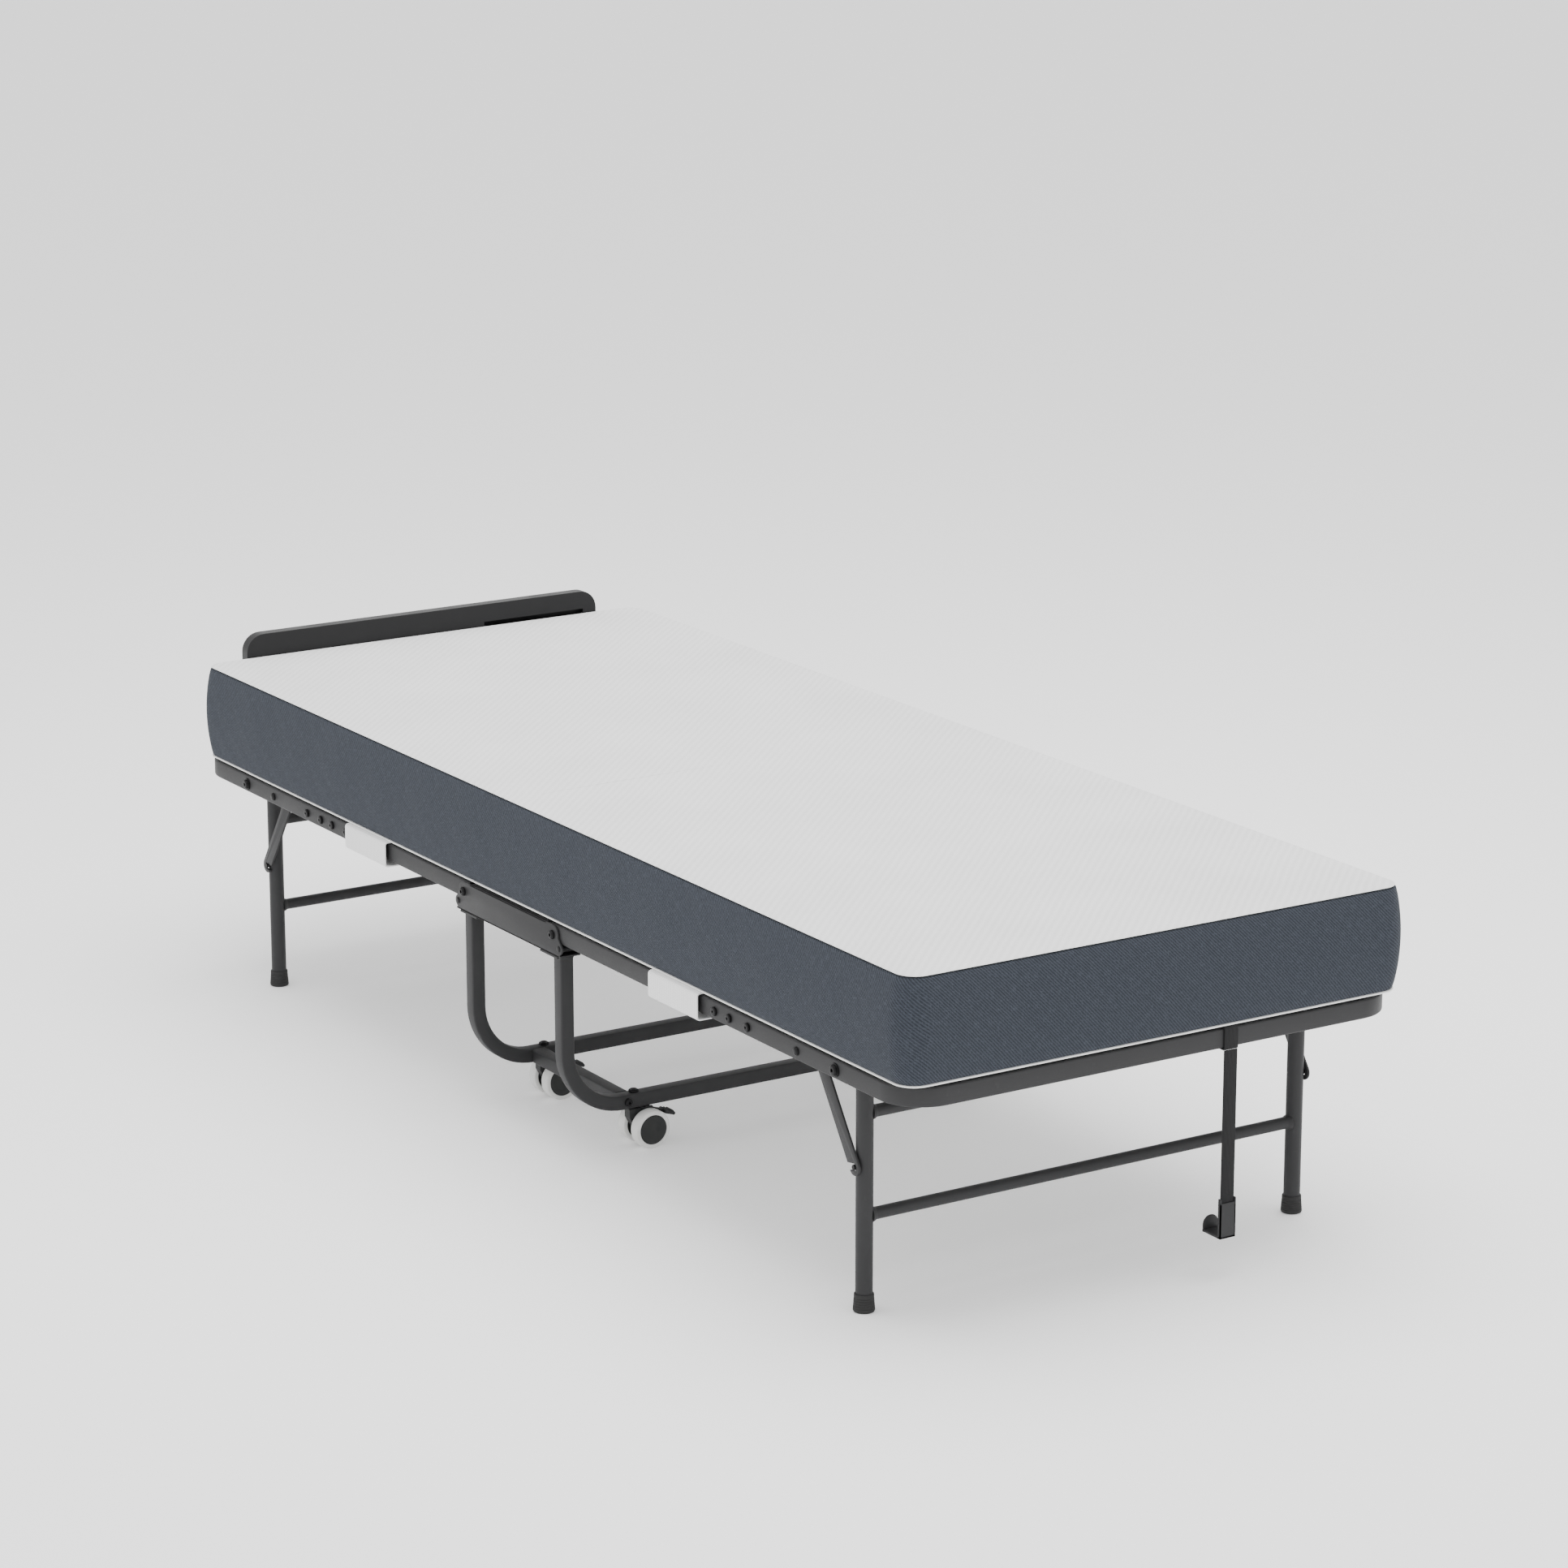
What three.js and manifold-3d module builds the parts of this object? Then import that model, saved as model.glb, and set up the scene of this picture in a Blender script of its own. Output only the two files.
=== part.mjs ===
// Folding cot: two hinged half frames on a rolling centre base, with a sectioned foam mattress.
// Millimetres, +Z up, +X towards the foot end. Built about the mattress centre, then shifted so that
// the origin is the centre of the footprint on the floor.
import * as THREE from 'three';
import { mergeVertices } from 'three/addons/utils/BufferGeometryUtils.js';
import Module from 'manifold-3d';

const wasm = await Module();
wasm.setup();

// ---- driving dimensions ----------------------------------------------------------------------
const gap = 0.3; // clearance between neighbouring solids
const wall = 1.5; // steel tube wall
const originShift = 7.0; // mattress centre to footprint centre

const mattress = { half: 950, width: 753, bottom: 336.6, top: 474.5, corner: 28 };
const rail = { size: 25, centreY: 364.8, z: 320.5, bend: 46.5, stub: 9.5 };
const foldZ = 319; // height of the two fold pivots
const channel = { bottom: 290.5, top: 333, plate: 3, sheet: 2.6, outer: 380.6, inner: 349.4 };
const hoop = { size: 20, y: 364, bottomZ: 67, bend: 85, topZ: 290.2, flange: 3 };
const link = { y: 271.5, rodRadius: 3 };
const casterY = 257.8;
const leg = { y: 334, radius: 11, pivotZ: 320, top: 6, bar: 8, bars: [257.5, 124.8], pinZ: 190 };
const brace = { reach: 87, width: 22, thick: 3, inner: 346.6, pin: 3.5, slot: 4.5 };
const cap = { height: 24, floor: 3.7, bottom: 14, top: 12.6 };
const deck = { z: 333.3, thick: 2, slat: 30, halfWidth: 364, tabInner: 349.4, tab: 2.6 };
const bandWall = 2.5;

// Each half is measured outward from the mattress centre.
const halves = {
  head: {
    turn: Math.PI, pivot: 136.3, end: 969.7, legs: 812.3,
    rivets: [493.0, 536.8, 571.9, 615.5], band: [360.5, 482.6],
    slats: [181, 261, 341, 514.9, 593.7, 673, 753, 833, 913],
  },
  foot: {
    turn: 0, pivot: 109.6, end: 950.6, legs: 795.0,
    rivets: [472.5, 516.0, 550.9, 594.4], band: [363.7, 484.7],
    slats: [155, 235, 315, 501.5, 572.7, 652, 732, 812, 892],
  },
};

// ---- finishes --------------------------------------------------------------------------------
const finish = (color, roughness, metalness) => ({ color, roughness, metalness });
const finishes = {
  frame: finish(0x4b4b4c, 0.55, 0.4),
  bolt: finish(0x1c1c1d, 0.4, 0.6),
  rubber: finish(0x171717, 0.85, 0),
  nylon: finish(0x2b2c2c, 0.55, 0),
  tyre: finish(0xe0e0de, 0.6, 0),
  board: finish(0x2a2a2b, 0.5, 0),
  webbing: finish(0x3a3a3b, 0.85, 0),
  band: finish(0xe6e6e6, 0.9, 0),
  cover: finish(0xdedede, 0.95, 0),
};

// ---- solids ----------------------------------------------------------------------------------
const axes = {
  x: new THREE.Vector3(1, 0, 0), y: new THREE.Vector3(0, 1, 0), z: new THREE.Vector3(0, 0, 1),
};

function toSolid(geometry) {
  geometry.deleteAttribute('normal');
  geometry.deleteAttribute('uv');
  const merged = mergeVertices(geometry, 1e-4);
  const mesh = new wasm.Mesh({
    numProp: 3,
    vertProperties: new Float32Array(merged.attributes.position.array),
    triVerts: new Uint32Array(merged.index.array),
  });
  return new wasm.Manifold(mesh);
}

function toGeometry(solid) {
  const mesh = solid.getMesh();
  const geometry = new THREE.BufferGeometry();
  geometry.setAttribute('position', new THREE.BufferAttribute(new Float32Array(mesh.vertProperties), 3));
  geometry.setIndex(new THREE.BufferAttribute(new Uint32Array(mesh.triVerts), 1));
  geometry.computeVertexNormals();
  return geometry;
}

const join = (...solids) => solids.reduce((whole, next) => whole.add(next));
const cut = (body, ...tools) => tools.reduce((whole, next) => whole.subtract(next), body);

// A box given by its low and high corner on each axis.
function box([x0, x1], [y0, y1], [z0, z1]) {
  const geometry = new THREE.BoxGeometry(x1 - x0, y1 - y0, z1 - z0);
  return toSolid(geometry.translate((x0 + x1) / 2, (y0 + y1) / 2, (z0 + z1) / 2));
}

// A round bar along one axis, from lo to hi, centred on the other two coordinates in `at`.
function rod(axis, radius, lo, hi, at, sides = 12, endRadius = radius) {
  const low = Math.min(lo, hi);
  const length = Math.abs(hi - lo);
  const geometry = new THREE.CylinderGeometry(endRadius, radius, length, sides);
  geometry.translate(0, length / 2, 0);
  if (axis === 'x') geometry.rotateZ(-Math.PI / 2).translate(low, at[0], at[1]);
  if (axis === 'y') geometry.translate(at[0], low, at[1]);
  if (axis === 'z') geometry.rotateX(Math.PI / 2).translate(at[0], at[1], low);
  return toSolid(geometry);
}

// A flat outline given thickness: plane 'xy' rises along z, 'xz' runs along y, 'yz' runs along x.
function slab(plane, outline, lo, hi, curveSegments = 4) {
  const geometry = new THREE.ExtrudeGeometry(outline, { depth: hi - lo, bevelEnabled: false, curveSegments });
  const turn = new THREE.Matrix4();
  if (plane === 'xz') turn.makeBasis(axes.x, axes.z, axes.y.clone().negate()).setPosition(0, hi, 0);
  if (plane === 'yz') turn.makeBasis(axes.y, axes.z, axes.x).setPosition(lo, 0, 0);
  if (plane === 'xy') turn.makeTranslation(0, 0, lo);
  return toSolid(geometry.applyMatrix4(turn));
}

function polygon(points) {
  return new THREE.Shape(points.map(([u, v]) => new THREE.Vector2(u, v)));
}

// The band covered by a bent bar: two legs from `open`, `spread` either side of the centre line,
// joined by a cross run at `closed`, with rounded corners; `half` is half the band's width.
function uBand(open, closed, spread, bend, half) {
  const u = closed - bend;
  const v = spread - bend;
  const outline = new THREE.Shape();
  outline.moveTo(open, -spread - half);
  outline.lineTo(u, -spread - half);
  outline.absarc(u, -v, bend + half, -Math.PI / 2, 0);
  outline.absarc(u, v, bend + half, 0, Math.PI / 2);
  outline.lineTo(open, spread + half);
  outline.lineTo(open, spread - half);
  outline.absarc(u, v, bend - half, Math.PI / 2, 0, true);
  outline.absarc(u, -v, bend - half, 0, -Math.PI / 2, true);
  outline.lineTo(open, -spread + half);
  return outline;
}

// A bent square tube lying flat, open at both ends.
function bentTube(open, closed, spread, bend, size) {
  const half = size / 2;
  const outer = slab('xy', uBand(open, closed, spread, bend, half), -half, half);
  const inner = slab('xy', uBand(open - 1, closed, spread, bend, half - wall), wall - half, half - wall);
  return cut(outer, inner);
}

// ---- the scene -------------------------------------------------------------------------------
const cot = new THREE.Group();
cot.position.x = originShift;

function addPart(parent, name, solid, look) {
  const mesh = new THREE.Mesh(toGeometry(solid), new THREE.MeshStandardMaterial(finishes[look]));
  mesh.name = name;
  parent.add(mesh);
}

const sides = [['near', -1], ['far', 1]];

// ---- centre base -----------------------------------------------------------------------------
// Channel that joins the two half frames on one side: outer cheek, inner cheek, bottom web and a
// top strip between the pivots. Each end has a lobe round the fold pivot and a lower lobe round the
// stop pin that the rail rests on; the ends are open so that the rails can swing up.
function pivotChannel(s) {
  const stopOut = 16.1;
  const stopZ = 302.4;
  const lobe = 14;
  const foot = halves.foot.pivot;
  const head = -halves.head.pivot;
  const outline = new THREE.Shape();
  outline.moveTo(head - stopOut, channel.bottom);
  outline.lineTo(foot + stopOut, channel.bottom);
  outline.absarc(foot + stopOut, stopZ, 8, -Math.PI / 3, Math.PI / 3);
  outline.absarc(foot, foldZ, lobe, -0.2, Math.PI / 2);
  outline.absarc(head, foldZ, lobe, Math.PI / 2, Math.PI + 0.2);
  outline.absarc(head - stopOut, stopZ, 8, Math.PI * 2 / 3, Math.PI * 4 / 3);
  const across = (a, b) => [Math.min(s * a, s * b), Math.max(s * a, s * b)];
  const webEnds = [head - stopOut - 4, foot + stopOut + 4];
  const stripEnds = [head + 18, foot - 18];
  const outerFace = channel.outer - channel.plate;
  const innerFace = channel.inner + channel.sheet;
  let body = join(
    slab('xz', outline, ...across(outerFace, channel.outer)),
    slab('xz', outline, ...across(channel.inner, innerFace)),
    box(webEnds, across(channel.inner, channel.outer), [channel.bottom, channel.bottom + channel.sheet]),
    box(stripEnds, across(channel.inner, channel.outer), [channel.top - channel.sheet, channel.top]),
  );
  for (const [pivot, out] of [[head, -1], [foot, 1]]) {
    const stop = [pivot + out * stopOut, stopZ];
    const stud = [pivot - out * 22.5, s * rail.centreY];
    body = join(
      body,
      rod('y', 5.3, s * (channel.inner + 1), s * (channel.outer - 1), stop),
      rod('y', 4.4, s * (channel.outer - 1), s * (channel.outer + 1.5), stop),
      rod('z', 3, hoop.topZ - hoop.flange - 2, channel.bottom + 1, stud, 12),
      rod('z', 5.5, hoop.topZ - hoop.flange - 4, hoop.topZ - hoop.flange - gap, stud, 6),
    );
    body = cut(body, rod('y', 4.4, s * 340, s * 390, [pivot, foldZ]));
  }
  return body;
}

// Bolt through cheek, rail and cheek that a half frame folds about, with a nut on the inside.
function foldBolt(s, x) {
  const at = [x, foldZ];
  return join(
    rod('y', 6.2, s * (channel.outer + gap), s * (channel.outer + gap + 4.3), at),
    rod('y', 4, s * (channel.inner - 5), s * (channel.outer + 1), at),
    rod('y', 6.6, s * (channel.inner - 4.5), s * (channel.inner - gap), at, 6),
  );
}

// Upright U of square tube across the bed, with a mounting flange on each leg.
function uprightHoop(x, inward) {
  const legTop = hoop.topZ - hoop.flange + 0.5;
  const tube = bentTube(-legTop, -hoop.bottomZ, hoop.y, hoop.bend, hoop.size);
  let body = tube.rotate([0, 90, 0]).translate([x, 0, 0]);
  for (const [, s] of sides) {
    const flangeX = [x - 3 - 32 * (inward < 0), x + 3 + 32 * (inward > 0)];
    const plateX = [Math.min(flangeX[0], x - 11), Math.max(flangeX[1], x + 11)];
    const plateY = [s * channel.inner, s * (channel.outer - gap)].sort((a, b) => a - b);
    body = join(body, box(plateX, plateY, [hoop.topZ - hoop.flange, hoop.topZ]));
    body = cut(
      body,
      rod('z', 3.4, hoop.topZ - 10, hoop.topZ + 5, [x + inward * 22.5, s * rail.centreY], 12),
      rod('x', link.rodRadius + 0.4, x - 15, x + 15, [s * link.y, hoop.bottomZ], 12),
      rod('z', 4.4, hoop.bottomZ - 15, hoop.bottomZ + 15, [x, s * casterY]),
    );
  }
  return body;
}

// Square tube along the bed between the hoops, held by a long bolt along its axis.
function linkBar(s, from, to) {
  const half = hoop.size / 2;
  const square = (h, lo, hi) => box([lo, hi], [s * link.y - h, s * link.y + h],
    [hoop.bottomZ - h, hoop.bottomZ + h]);
  return cut(square(half, from, to), square(half - wall, from - 1, to + 1));
}

function linkRod(s, from, to) {
  const at = [s * link.y, hoop.bottomZ];
  return join(
    rod('x', link.rodRadius, from - 5, to + 1, at, 12),
    rod('x', 6, to + gap, to + 4, at),
    rod('x', 6, from - 4.5, from - gap, at, 6),
  );
}

const base = new THREE.Group();
cot.add(base);
const hoopAt = { head: -halves.head.pivot, foot: halves.foot.pivot };
addPart(base, 'hoop_head', uprightHoop(hoopAt.head, 1), 'frame');
addPart(base, 'hoop_foot', uprightHoop(hoopAt.foot, -1), 'frame');
for (const [side, s] of sides) {
  const inside = [hoopAt.head + hoop.size / 2 + gap, hoopAt.foot - hoop.size / 2 - gap];
  const outside = [hoopAt.head - hoop.size / 2, hoopAt.foot + hoop.size / 2];
  addPart(base, `link_bar_${side}`, linkBar(s, ...inside), 'frame');
  addPart(base, `link_rod_${side}`, linkRod(s, ...outside), 'bolt');
  addPart(base, `pivot_channel_${side}`, pivotChannel(s), 'frame');
  for (const end of ['head', 'foot']) {
    addPart(base, `fold_bolt_${end}_${side}`, foldBolt(s, hoopAt[end]), 'bolt');
  }
}

// ---- twin-wheel casters ----------------------------------------------------------------------
// Local frame: swivel axis at x = y = 0, floor at z = 0, wheels trailing towards +Y.
const caster = { trail: 16, radius: 27, inner: 8, outer: 27, web: 7, top: 54.6, leverPin: [22, 49] };

function casterStem() {
  const flangeTop = hoop.bottomZ - hoop.size / 2 - gap;
  const nutBottom = hoop.bottomZ + hoop.size / 2 + gap;
  return join(
    rod('z', 4, 37, nutBottom + 5, [0, 0]),
    rod('z', 9.5, flangeTop - 1.8, flangeTop, [0, 0]),
    rod('z', 7, nutBottom, nutBottom + 4, [0, 0], 6),
  );
}

function casterBody() {
  const { trail, radius, web, top, leverPin } = caster;
  const outline = new THREE.Shape();
  outline.moveTo(-10, top);
  outline.lineTo(26, top);
  outline.lineTo(31, top - 8);
  outline.absarc(trail, radius, 15, 0, -Math.PI * 0.8, true);
  outline.lineTo(-10, 42);
  const slot = 3.5;
  return join(
    cut(
      join(slab('yz', outline, -web, web), rod('z', 7.6, 38, top, [0, 0])),
      rod('z', 4.5, 36.5, top + 1, [0, 0]),
      box([-slot, slot], [leverPin[0] - 8, 34], [leverPin[1] - 8, top + 1]),
    ),
    rod('x', 1.5, -web + 1, web - 1, leverPin, 10),
    rod('x', 3.5, -caster.outer + 2, caster.outer - 2, [trail, radius], 12),
  );
}

// One wheel: a rounded tread round a hub that is dished on its inner face, with a blind axle bore.
function casterWheel(s) {
  const { trail, radius, inner, outer } = caster;
  const bore = 4.1;
  const hub = 21;
  const edge = 3;
  const profile = [
    [bore, inner], [7, inner], [7, inner + 4], [hub, inner + 4], [hub, inner],
    [radius - edge, inner], [radius, inner + edge], [radius, outer - edge],
    [radius - edge, outer], [bore, outer], [bore, inner],
  ];
  const points = profile.map(([r, x]) => new THREE.Vector2(r, x));
  const geometry = new THREE.LatheGeometry(points, 16);
  geometry.rotateZ(s > 0 ? -Math.PI / 2 : Math.PI / 2);
  const cover = rod('x', bore + 1, s * (outer - 1.5), s * (outer - gap), [trail, radius], 12);
  return join(toSolid(geometry.translate(0, trail, radius)), cover);
}

// Brake lever: a thin root in the body's slot and a ridged foot pad beyond the wheels.
function brakeLever() {
  const [pinY, pinZ] = caster.leverPin;
  const tip = [61.5, 38];
  const slope = (tip[1] - pinZ) / (tip[0] - pinY);
  const onTop = (y, rise) => [y, pinZ + slope * (y - pinY) + rise];
  const root = polygon([onTop(pinY - 4, -4), onTop(50, -2.5), onTop(50, 2.5), onTop(pinY - 4, 4)]);
  const ridges = [];
  for (let y = 45; y < tip[0] - 4; y += 5) ridges.push(onTop(y, 2), onTop(y + 2.5, 4));
  const pad = polygon([onTop(45, -2.5), onTop(tip[0] - 2, -3), onTop(tip[0], 0), ...ridges.reverse()]);
  const body = join(slab('yz', root, -2.9, 2.9), slab('yz', pad, -8.5, 8.5));
  return cut(body, rod('x', 2.2, -5, 5, caster.leverPin, 10));
}

for (const end of ['head', 'foot']) {
  for (const [side, s] of sides) {
    const unit = new THREE.Group();
    unit.position.set(hoopAt[end], s * casterY, 0);
    base.add(unit);
    addPart(unit, `caster_stem_${end}_${side}`, casterStem(), 'bolt');
    addPart(unit, `caster_body_${end}_${side}`, casterBody(), 'nylon');
    addPart(unit, `caster_wheel_${end}_${side}_a`, casterWheel(-1), 'tyre');
    addPart(unit, `caster_wheel_${end}_${side}_b`, casterWheel(1), 'tyre');
    addPart(unit, `brake_lever_${end}_${side}`, brakeLever(), 'nylon');
  }
}

// ---- half frames -----------------------------------------------------------------------------
// Built outward along +X with near and far mirrored; the head half is turned half way round.
function railFrame(h) {
  const closed = h.end - rail.size / 2;
  let body = bentTube(h.pivot - rail.stub, closed, rail.centreY, rail.bend, rail.size);
  body = body.translate([0, 0, rail.z]);
  const holes = [];
  for (const s of [-1, 1]) {
    holes.push(rod('y', 4.5, s * 340, s * 390, [h.pivot, foldZ]));
    holes.push(rod('y', 4.4, s * 340, s * 390, [h.legs, leg.pivotZ]));
    holes.push(rod('y', 4, s * 340, s * 390, [h.legs - brace.reach, leg.pivotZ], 12));
    for (const u of h.rivets) holes.push(rod('y', 3.5, s * 340, s * 390, [u, leg.pivotZ], 6));
  }
  return cut(body, ...holes);
}

// Sleeping deck: flat cross slats on two ties, with a riveted tab to each rail at two slats.
function slatDeck(h) {
  const slats = h.slats.map((u) => box([u - deck.slat / 2, u + deck.slat / 2],
    [-deck.halfWidth, deck.halfWidth], [deck.z, deck.z + deck.thick]));
  const span = [h.slats[0] - 8, h.slats[h.slats.length - 1] + 8];
  const ties = [-150, 150].map((y) => box(span, [y - 10, y + 10], [deck.z - 1.6, deck.z + 0.4]));
  const tabs = [];
  for (const s of [-1, 1]) {
    for (let i = 0; i < h.rivets.length; i += 2) {
      const [a, b] = [h.rivets[i], h.rivets[i + 1]];
      const y = [s * deck.tabInner, s * (deck.tabInner + deck.tab)].sort((p, q) => p - q);
      tabs.push(box([a - 10, b + 10], y, [310, deck.z + 0.4]));
    }
    for (const u of h.rivets) {
      tabs.push(rod('y', 3, s * (deck.tabInner + 1), s * 379, [u, leg.pivotZ], 6));
      tabs.push(rod('y', 6, s * 377.6, s * 380.8, [u, leg.pivotZ], 8));
    }
  }
  return join(...slats, ...ties, ...tabs);
}

// Elastic band that holds the mattress down: it crosses under the mattress, and each end goes over
// the side rail, down its outer face and back under it.
function railBand([from, to]) {
  const outer = 384.5;
  const inner = 351;
  const bottom = 299;
  const top = mattress.bottom - gap;
  const under = top - 2.3;
  const farEnd = [
    [outer - bandWall - 2, under], [outer - bandWall, under - 4],
    [outer - bandWall, bottom + bandWall + 2], [outer - bandWall - 2, bottom + bandWall],
    [inner, bottom + bandWall], [inner, bottom], [outer - 3, bottom], [outer, bottom + 3],
    [outer, top - 4], [outer - 4, top],
  ];
  const nearEnd = farEnd.map(([y, z]) => [-y, z]).reverse();
  return slab('yz', polygon([...farEnd, ...nearEnd]), from, to);
}

// Bolt that a folding leg turns on: washer, button head, spacer between rail and leg, inner nut.
function legBolt(s, h) {
  const at = [h.legs, leg.pivotZ];
  return join(
    rod('y', 9, s * 377.6, s * 379.1, at),
    rod('y', 7.2, s * 379, s * 382.6, at),
    rod('y', 4, s * 318, s * 380, at),
    rod('y', 7, s * 345.3, s * 352, at),
    rod('y', 6.5, s * 318.5, s * 322.7, at, 6),
  );
}

// Diagonal brace: flat bar with its top rivet, and an open slot at the lower end for the leg's pin.
function braceBar(s) {
  const drop = leg.pivotZ - leg.pinZ;
  const half = brace.width / 2;
  const slant = Math.atan2(-drop, brace.reach);
  const outline = new THREE.Shape();
  outline.absarc(0, 0, half, slant + Math.PI / 2, slant + Math.PI * 1.5);
  outline.absarc(brace.reach, -drop, half, slant - Math.PI / 2, slant + Math.PI / 2);
  const faces = [s * brace.inner, s * (brace.inner + brace.thick)].sort((p, q) => p - q);
  const slotSlant = 0.16;
  const [dx, dz] = [-20 * Math.cos(slotSlant), -20 * Math.sin(slotSlant)];
  const [nx, nz] = [-Math.sin(slotSlant) * brace.slot, Math.cos(slotSlant) * brace.slot];
  const [cx, cz] = [brace.reach, -drop];
  const slotOutline = polygon([
    [cx + nx, cz + nz], [cx + dx + nx, cz + dz + nz], [cx + dx - nx, cz + dz - nz], [cx - nx, cz - nz],
  ]);
  const cutter = join(
    slab('xz', slotOutline, ...faces.map((y, i) => y + (i ? 1 : -1))),
    rod('y', brace.slot, faces[0] - 1, faces[1] + 1, [cx, cz]),
  );
  return join(
    cut(slab('xz', outline, ...faces), cutter),
    rod('y', 3.5, s * (brace.inner + 1), s * 379, [0, 0], 12),
    rod('y', 6.5, s * (brace.inner + 1), s * 352, [0, 0], 12),
    rod('y', 5.7, s * 377.6, s * 380.8, [0, 0]),
  );
}

// Leg frame about its pivot: two round tubes, two welded crossbars and a brace pin on each leg.
function legFrame() {
  const top = leg.top;
  const bottom = cap.floor + gap - leg.pivotZ;
  const sidesOf = 12;
  const bars = leg.bars.map((z) => z - leg.pivotZ);
  const tube = (r, lo, hi) => [-1, 1].map((s) => rod('z', r, lo, hi, [0, s * leg.y], sidesOf));
  const bar = (r) => bars.map((z) => rod('y', r, -leg.y, leg.y, [0, z], 10));
  let body = cut(
    join(...tube(leg.radius, bottom, top), ...bar(leg.bar)),
    ...tube(leg.radius - wall, bottom - 1, top + 1),
    ...bar(leg.bar - 1.2),
  );
  for (const s of [-1, 1]) {
    body = join(body, rod('y', brace.pin, s * 344, s * 351, [0, leg.pinZ - leg.pivotZ], 12));
    body = cut(body, rod('y', 4.4, s * 315, s * 352, [0, 0]));
  }
  return body;
}

function footCap() {
  return cut(
    rod('z', cap.bottom, 0, cap.height, [0, 0], 12, cap.top),
    rod('z', leg.radius + gap, cap.floor, cap.height + 1, [0, 0], 12),
  );
}

// Foam mattress section with square inner end and rounded outer corners.
function mattressEnd(from) {
  const half = mattress.width / 2;
  const { half: end, corner } = mattress;
  const outline = new THREE.Shape();
  outline.moveTo(from, -half);
  outline.lineTo(end - corner, -half);
  outline.absarc(end - corner, -half + corner, corner, -Math.PI / 2, 0);
  outline.absarc(end - corner, half - corner, corner, 0, Math.PI / 2);
  outline.lineTo(from, half);
  return slab('xy', outline, mattress.bottom, mattress.top);
}

for (const [end, h] of Object.entries(halves)) {
  const half = new THREE.Group();
  half.rotation.z = h.turn;
  cot.add(half);
  const sideName = (s) => (s * Math.cos(h.turn) < 0 ? 'near' : 'far');
  let railSolid = railFrame(h);
  if (end === 'head') {
    for (const y of [-200, 200]) {
      railSolid = cut(railSolid, rod('z', 4.5, 300, 340, [h.end - rail.size / 2, y], 12));
    }
  }
  addPart(half, `${end}_rail`, railSolid, 'frame');
  addPart(half, `${end}_deck`, slatDeck(h), 'frame');
  addPart(half, `mattress_${end}`, mattressEnd(h.pivot + gap), 'cover');
  addPart(half, `rail_band_${end}`, railBand(h.band), 'band');
  const pivot = new THREE.Group();
  pivot.position.set(h.legs, 0, leg.pivotZ);
  half.add(pivot);
  addPart(pivot, `leg_frame_${end}`, legFrame(), 'frame');
  for (const s of [-1, 1]) {
    const side = sideName(s);
    addPart(half, `leg_bolt_${end}_${side}`, legBolt(s, h), 'bolt');
    const cornerFoot = new THREE.Group();
    cornerFoot.position.set(h.legs, s * leg.y, 0);
    half.add(cornerFoot);
    addPart(cornerFoot, `foot_cap_${end}_${side}`, footCap(), 'rubber');
    const braceTop = new THREE.Group();
    braceTop.position.set(h.legs - brace.reach, 0, leg.pivotZ);
    half.add(braceTop);
    addPart(braceTop, `brace_${end}_${side}`, braceBar(s), 'frame');
  }
}

const middle = [-halves.head.pivot, halves.foot.pivot];
const halfWidth = [-mattress.width / 2, mattress.width / 2];
addPart(base, 'mattress_middle', box(middle, halfWidth, [mattress.bottom, mattress.top]), 'cover');

// ---- head board ------------------------------------------------------------------------------
// Upright moulded board on the head rail, held by two studs through it; its mattress side has
// two lightening pockets.
function headboard() {
  const halfSpan = 304.5;
  const top = 510;
  const corner = 28;
  const back = -halves.head.end + gap;
  const front = -mattress.half - 0.6;
  const bottom = rail.z + rail.size / 2 + gap;
  const outline = new THREE.Shape();
  outline.moveTo(-halfSpan, bottom);
  outline.lineTo(halfSpan, bottom);
  outline.absarc(halfSpan - corner, top - corner, corner, 0, Math.PI / 2);
  outline.absarc(corner - halfSpan, top - corner, corner, Math.PI / 2, Math.PI);
  const pocket = (y, z) => box([front - 11, front + 1], y, z);
  const studs = [-200, 200].map((y) => rod('z', 4, 304, bottom + 4, [-halves.head.end + 12.5, y], 12));
  return join(
    cut(slab('yz', outline, back, front), pocket([104, 281], [352, 482]), pocket([-281, -104], [352, 468])),
    ...studs,
  );
}
addPart(cot, 'headboard', headboard(), 'board');

// ---- fold latch ------------------------------------------------------------------------------
// Webbing strap with a sheet-metal hook, hanging from a loop sewn round the foot rail. The hook's
// lip reaches over the head rail when the bed is folded.
const latch = { y: 104.5, half: 10, thick: 2.4, hookBottom: 58.3, hookTop: 105, cheekTop: 111 };

function latchLoop() {
  const out = halves.foot.end + gap + latch.thick;
  const into = halves.foot.end - rail.size - gap - latch.thick;
  const low = rail.z - rail.size / 2 - gap - latch.thick;
  const high = rail.z + rail.size / 2 + gap + latch.thick;
  const inset = (lo, hi) => [lo + latch.thick, hi - latch.thick];
  const width = [latch.y - latch.half - 0.6, latch.y + latch.half + 0.6];
  const wide = [width[0] - 1, width[1] + 1];
  return cut(box([into, out], width, [low, high]), box(inset(into, out), wide, inset(low, high)));
}

const strapOut = halves.foot.end + gap + latch.thick;
const strapIn = strapOut - latch.thick;

function latchStrap() {
  const top = rail.z - rail.size / 2 - gap * 2 - latch.thick;
  const width = [latch.y - latch.half, latch.y + latch.half];
  return box([strapIn, strapOut], width, [latch.hookBottom + 12, top]);
}

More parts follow.
